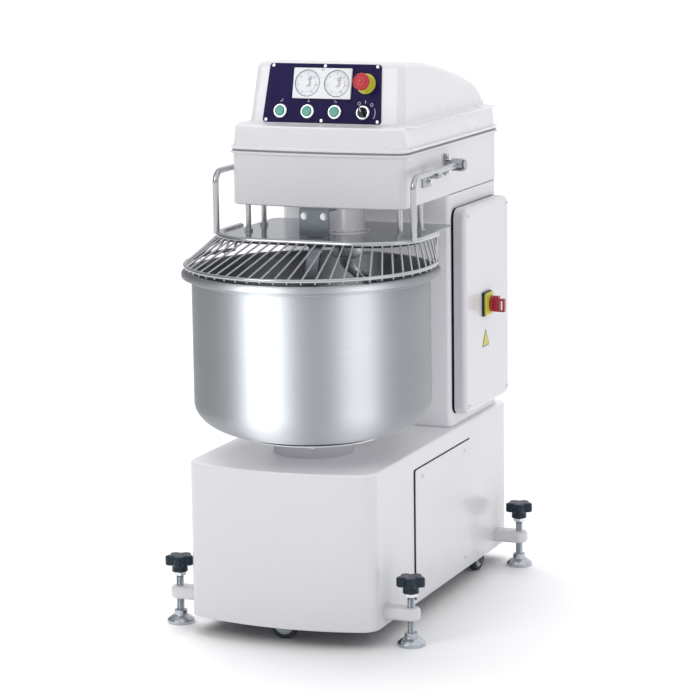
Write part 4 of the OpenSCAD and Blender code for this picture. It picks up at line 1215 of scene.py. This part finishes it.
def lobed(grow, steps=120):
    """Outline of a star knob: round lobes about a core, with filled hollows between them."""
    ring = []
    for k in range(steps):
        t = math.tau * k / steps
        d = (t + math.pi / LOBES) % (math.tau / LOBES) - math.pi / LOBES
        inside = LOBE_R ** 2 - (LOBE_OUT * math.sin(d)) ** 2
        r = LOBE_OUT * math.cos(d) + math.sqrt(inside) if inside > 0 else CORE_R
        ring.append(max(r, CORE_R))
    soft = [sum(ring[(k + j) % steps] for j in range(-3, 4)) / 7 + grow for k in range(steps)]
    return [around(r, 360 * k / steps) for k, r in enumerate(soft)]


def make_lugs():
    """Foot lugs with well rounded edges and a hole for the screw."""
    low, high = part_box("foot_lugs")
    lugs = bmesh.new()
    for points in islands("foot_lugs"):
        side = 1 if points[0].x > 0 else -1
        wall = min(abs(p.x) for p in points)
        front, rear = min(p.y for p in points), max(p.y for p in points)
        y, end_r = (front + rear) / 2, (rear - front) / 2
        x = high.x - end_r

        def outline(grow):
            end = arc(x, y, end_r + grow, -90, 90, 20)
            return [(side * px, py) for px, py in end + [(wall, end[-1][1]), (wall, end[0][1])]]

        hole = lathe([(10.2 * MM, low.z - 5 * MM), (10.2 * MM, high.z + 5 * MM)], 40,
                     at=(side * x, y))
        lugs = merged(lugs, carved(prism(outline, low.z, high.z, 9 * MM, 6), hole))
    add("lug_castings", lugs, "frame", "white_paint", ["foot_lugs"])


def make_foot(corner):
    pad, screw = "foot_pad_" + corner, "foot_screw_" + corner
    body = "screw_" + corner
    axis = centre(pad)
    place = upright(axis)
    pad_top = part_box(pad)[1].z / MM
    r = (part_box(pad)[1].x - axis.x) / MM
    plate = turned([(r - 2, 0, 0), (r, 0, 0.8), (r, 8.5, 3.5), (r - 8, 15, 9), (20, 20, 4),
                    (17.5, 20.5, 1), (17, 21.5, 0.5), (17, pad_top, 1.8), (11, pad_top, 0.6),
                    (11, pad_top - 4, 0)])
    add("pad_" + corner, moved(plate, place), "pad_" + corner, "zinc", [pad], look="chrome_dark")
    foot, top = (p.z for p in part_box(screw))
    rod = thread(9.95 * MM, 2.5 * MM, 1.2 * MM, foot, top - 42 * MM)
    add("rod_" + corner, moved(rod, place), body, "zinc", [screw], look="chrome_dark", crisp=70)
    nut = moved(hex_bolt(17 * MM, 9 * MM, 0.9), upright(axis, top - 53 * MM))
    add("nut_" + corner, nut, body, "zinc")
    z = top / MM
    hub = turned([(18, z - 44, 0), (21, z - 43, 1), (20, z - 27, 1.5), (19, z - 24, 0)], 48)
    edge = soften([(-14 * MM, top - 26 * MM, 0), (0, top - 25 * MM, 3 * MM),
                   (0, top - 1.5 * MM, 4.5 * MM), (-9 * MM, top, 10 * MM),
                   (-24 * MM, top, 0)], 6)
    star = swept(lobed, edge, hub)
    add("knob_" + corner, moved(star, place), body, "black_plastic", look="knob_plastic")


WHEEL_HALF_W = 11            # millimetres
HUB_HALF_W = 13


def make_wheel(node, body, turn_axis):
    """Tyre and hub of a wheel; turning about turn_axis lays their local Z along the axle."""
    low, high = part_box(node)
    r, w, h = (high.z - low.z) / 2 / MM, WHEEL_HALF_W, HUB_HALF_W
    tyre = ring_solid([(27, -w + 1, 1), (31, -w, 1), (r, -w, 5), (r, w, 5), (31, w, 1),
                       (27, w - 1, 1)], 72)
    hub = ring_solid([(6.2, -h, 0.5), (12, -h, 1), (12.5, -w + 3.5, 1.5), (25, -w + 3, 1.5),
                      (26.8, -w + 0.8, 0.4), (27.2, w - 0.8, 0.4), (25, w - 3, 1.5),
                      (12.5, w - 3.5, 1.5), (12, h, 1), (6.2, h, 0.5)], 72)
    place = Matrix.Translation(centre(node)) @ Matrix.Rotation(math.pi / 2, 4, turn_axis)
    add(body + "_tyre", moved(tyre, place), body, "tyre", [node])
    add(body + "_hub", moved(hub, place), body, "tyre", look="wheel_hub")


# ---------------------------------------------------------------- stage

def away(azimuth, elevation):
    """Direction from the machine to a lamp or the camera, angles in degrees."""
    a, e = math.radians(azimuth), math.radians(elevation)
    return Vector((math.sin(a) * math.cos(e), -math.cos(a) * math.cos(e), math.sin(e)))


def aimed(name, data, back):
    """Lamp or camera that looks along -back."""
    item = placed(name, data)
    item.rotation_mode = "QUATERNION"
    item.rotation_quaternion = (-back).to_track_quat("-Z", "Y")
    return item


# name, azimuth, elevation, distance, width, height, watts
LAMPS = [("key", -26, 34, 4.5, 1.8, 2.2, 40),
         ("fill", 84, 26, 4.5, 1.8, 2.2, 9)]
# the same for reflectors that light a few pieces; the fills among them cast no shadow
REFLECTORS = [("left_strip", -20, 8, 3.0, 2.0, 2.4, 128, ("bowl_body",)),
              ("right_strip", 62, 8, 3.0, 1.8, 2.4, 66, ("bowl_body",)),
              ("top_fill", 30, 78, 3.0, 2.0, 2.0, 30, ("base_housing",)),
              ("column_fill", 5, 5, 3.0, 1.0, 2.0, 24, ("column_housing", "spindle_sleeve"))]
LAMP_AIM = Vector((0, 0, 0.7))
SUN = 1.75
SUN_SPREAD = 50               # degrees
SUN_PLACE = (-140, 58)
SKY = 1.05                    # brightness straight up
SKY_LOW = (0.42, 0.43, 0.45)  # share of it at the horizon
SKY_MID = (0.56, 0.57, 0.59)  # and at a height of 0.3
BACK_GLOW = (1.0, 1.0, 1.02)  # share of it behind the machine
LEFT_SHADE = 0.35             # share of all that on the far left


def add_lamp(name, azimuth, elevation, distance, wide, tall, power):
    """Soft box that faces the machine; the camera doesn't see it."""
    data = bpy.data.lights.new(name, "AREA")
    data.shape = "RECTANGLE"
    data.size = wide
    data.size_y = tall
    data.energy = power
    back = away(azimuth, elevation)
    lamp = aimed(name, data, back)
    lamp.location = LAMP_AIM + back * distance
    lamp.visible_camera = False
    return lamp


def add_reflector(pieces, *row):
    lamp = add_lamp(*row)
    lamp.data.use_shadow = not lamp.name.endswith("_fill")
    lit = bpy.data.collections.new(lamp.name)
    for piece in pieces:
        lit.objects.link(bpy.data.objects[piece])
    lamp.light_linking.receiver_collection = lit


def make_lights():
    for row in LAMPS:
        add_lamp(*row)
    for row in REFLECTORS:
        add_reflector(row[-1], *row[:-1])
    data = bpy.data.lights.new("sun", "SUN")
    data.energy = SUN
    data.angle = math.radians(SUN_SPREAD)
    aimed("sun", data, away(*SUN_PLACE)).visible_glossy = False


def make_floor():
    bm = bmesh.new()
    bmesh.ops.create_circle(bm, cap_ends=True, segments=64, radius=120)
    floor = placed("floor", mesh_of(bm, "floor"))
    ground = Surface("floor", (0.93, 0.93, 0.93), 0.65, Specular_IOR_Level=0.1)
    floor.data.materials.append(ground.mottle(0.7, 0.004).mat)


def make_sky():
    """Pale studio: brightest above and behind the machine, dimmer on its left."""
    world = bpy.data.worlds.new("studio")
    bpy.context.scene.world = world
    world.use_nodes = True
    tree = world.node_tree
    place = shader_node(tree, "TexCoord").outputs["Generated"]
    split = shader_node(tree, "SeparateXYZ", Vector=place).outputs

    def ramp(axis, low, high, floor=0.0):
        limits = {"From Min": low, "From Max": high, "To Min": floor}
        return shader_node(tree, "MapRange", Value=split[axis], **limits).outputs["Result"]

    def mixed(kind, factor, first, second):
        mix = tree.nodes.new("ShaderNodeMix")
        mix.data_type = "RGBA"
        mix.blend_type = kind
        for socket, value in (("Factor", factor), (6, first), (7, second)):
            plug(tree, mix.inputs[socket], value)
        return mix.outputs[2]

    height = shader_node(tree, "ValToRGB", Fac=split["Z"])
    height.color_ramp.elements[0].color = (*SKY_LOW, 1)
    height.color_ramp.elements[1].color = (1, 1, 1, 1)
    height.color_ramp.elements.new(0.3).color = (*SKY_MID, 1)
    glow = mixed("MIX", ramp("Y", 0.35, 0.85), height.outputs["Color"], (*BACK_GLOW, 1))
    sky = mixed("MULTIPLY", 1.0, glow, ramp("X", -1.0, 0.2, LEFT_SHADE))
    background = tree.nodes["Background"].inputs
    plug(tree, background["Color"], sky)
    plug(tree, background["Strength"], SKY)


def make_stage():
    make_floor()
    make_sky()
    make_lights()
    view = bpy.context.scene.view_settings
    view.view_transform = "Standard"
    view.look = "None"


VIEW_AZIMUTH = 22.395
VIEW_ELEVATION = 10.284
VIEW_ROLL = -0.757
VIEW_TARGET = Vector((-0.1215, 0.324, 0.612))
VIEW_DISTANCE = 7.6243
LENS = 141.25
CLIP_END = 400


def make_camera():
    data = bpy.data.cameras.new("camera")
    data.lens = LENS
    data.clip_end = CLIP_END
    back = away(VIEW_AZIMUTH, VIEW_ELEVATION)
    camera = aimed("camera", data, back)
    camera.location = VIEW_TARGET + back * VIEW_DISTANCE
    camera.rotation_quaternion @= Quaternion((0, 0, 1), math.radians(VIEW_ROLL))
    bpy.context.scene.camera = camera


dress_cad_nodes()
make_base()
make_column()
make_side_covers()
make_warning_plate()
make_head()
make_cover()
make_panel()
make_timers()
make_round_controls()
make_cover_screws()
make_isolator()
make_bowl()
make_bowl_hub()
make_spiral()
make_spindle()
make_wire_ends()
make_cad_shapes()
make_lugs()
for foot_corner in CORNERS:
    make_foot(foot_corner)
make_wheel("castor_wheel", "front_wheel", "X")
make_wheel("rear_wheel_left", "left_wheel", "Y")
make_wheel("rear_wheel_right", "right_wheel", "Y")
make_camera()
make_stage()
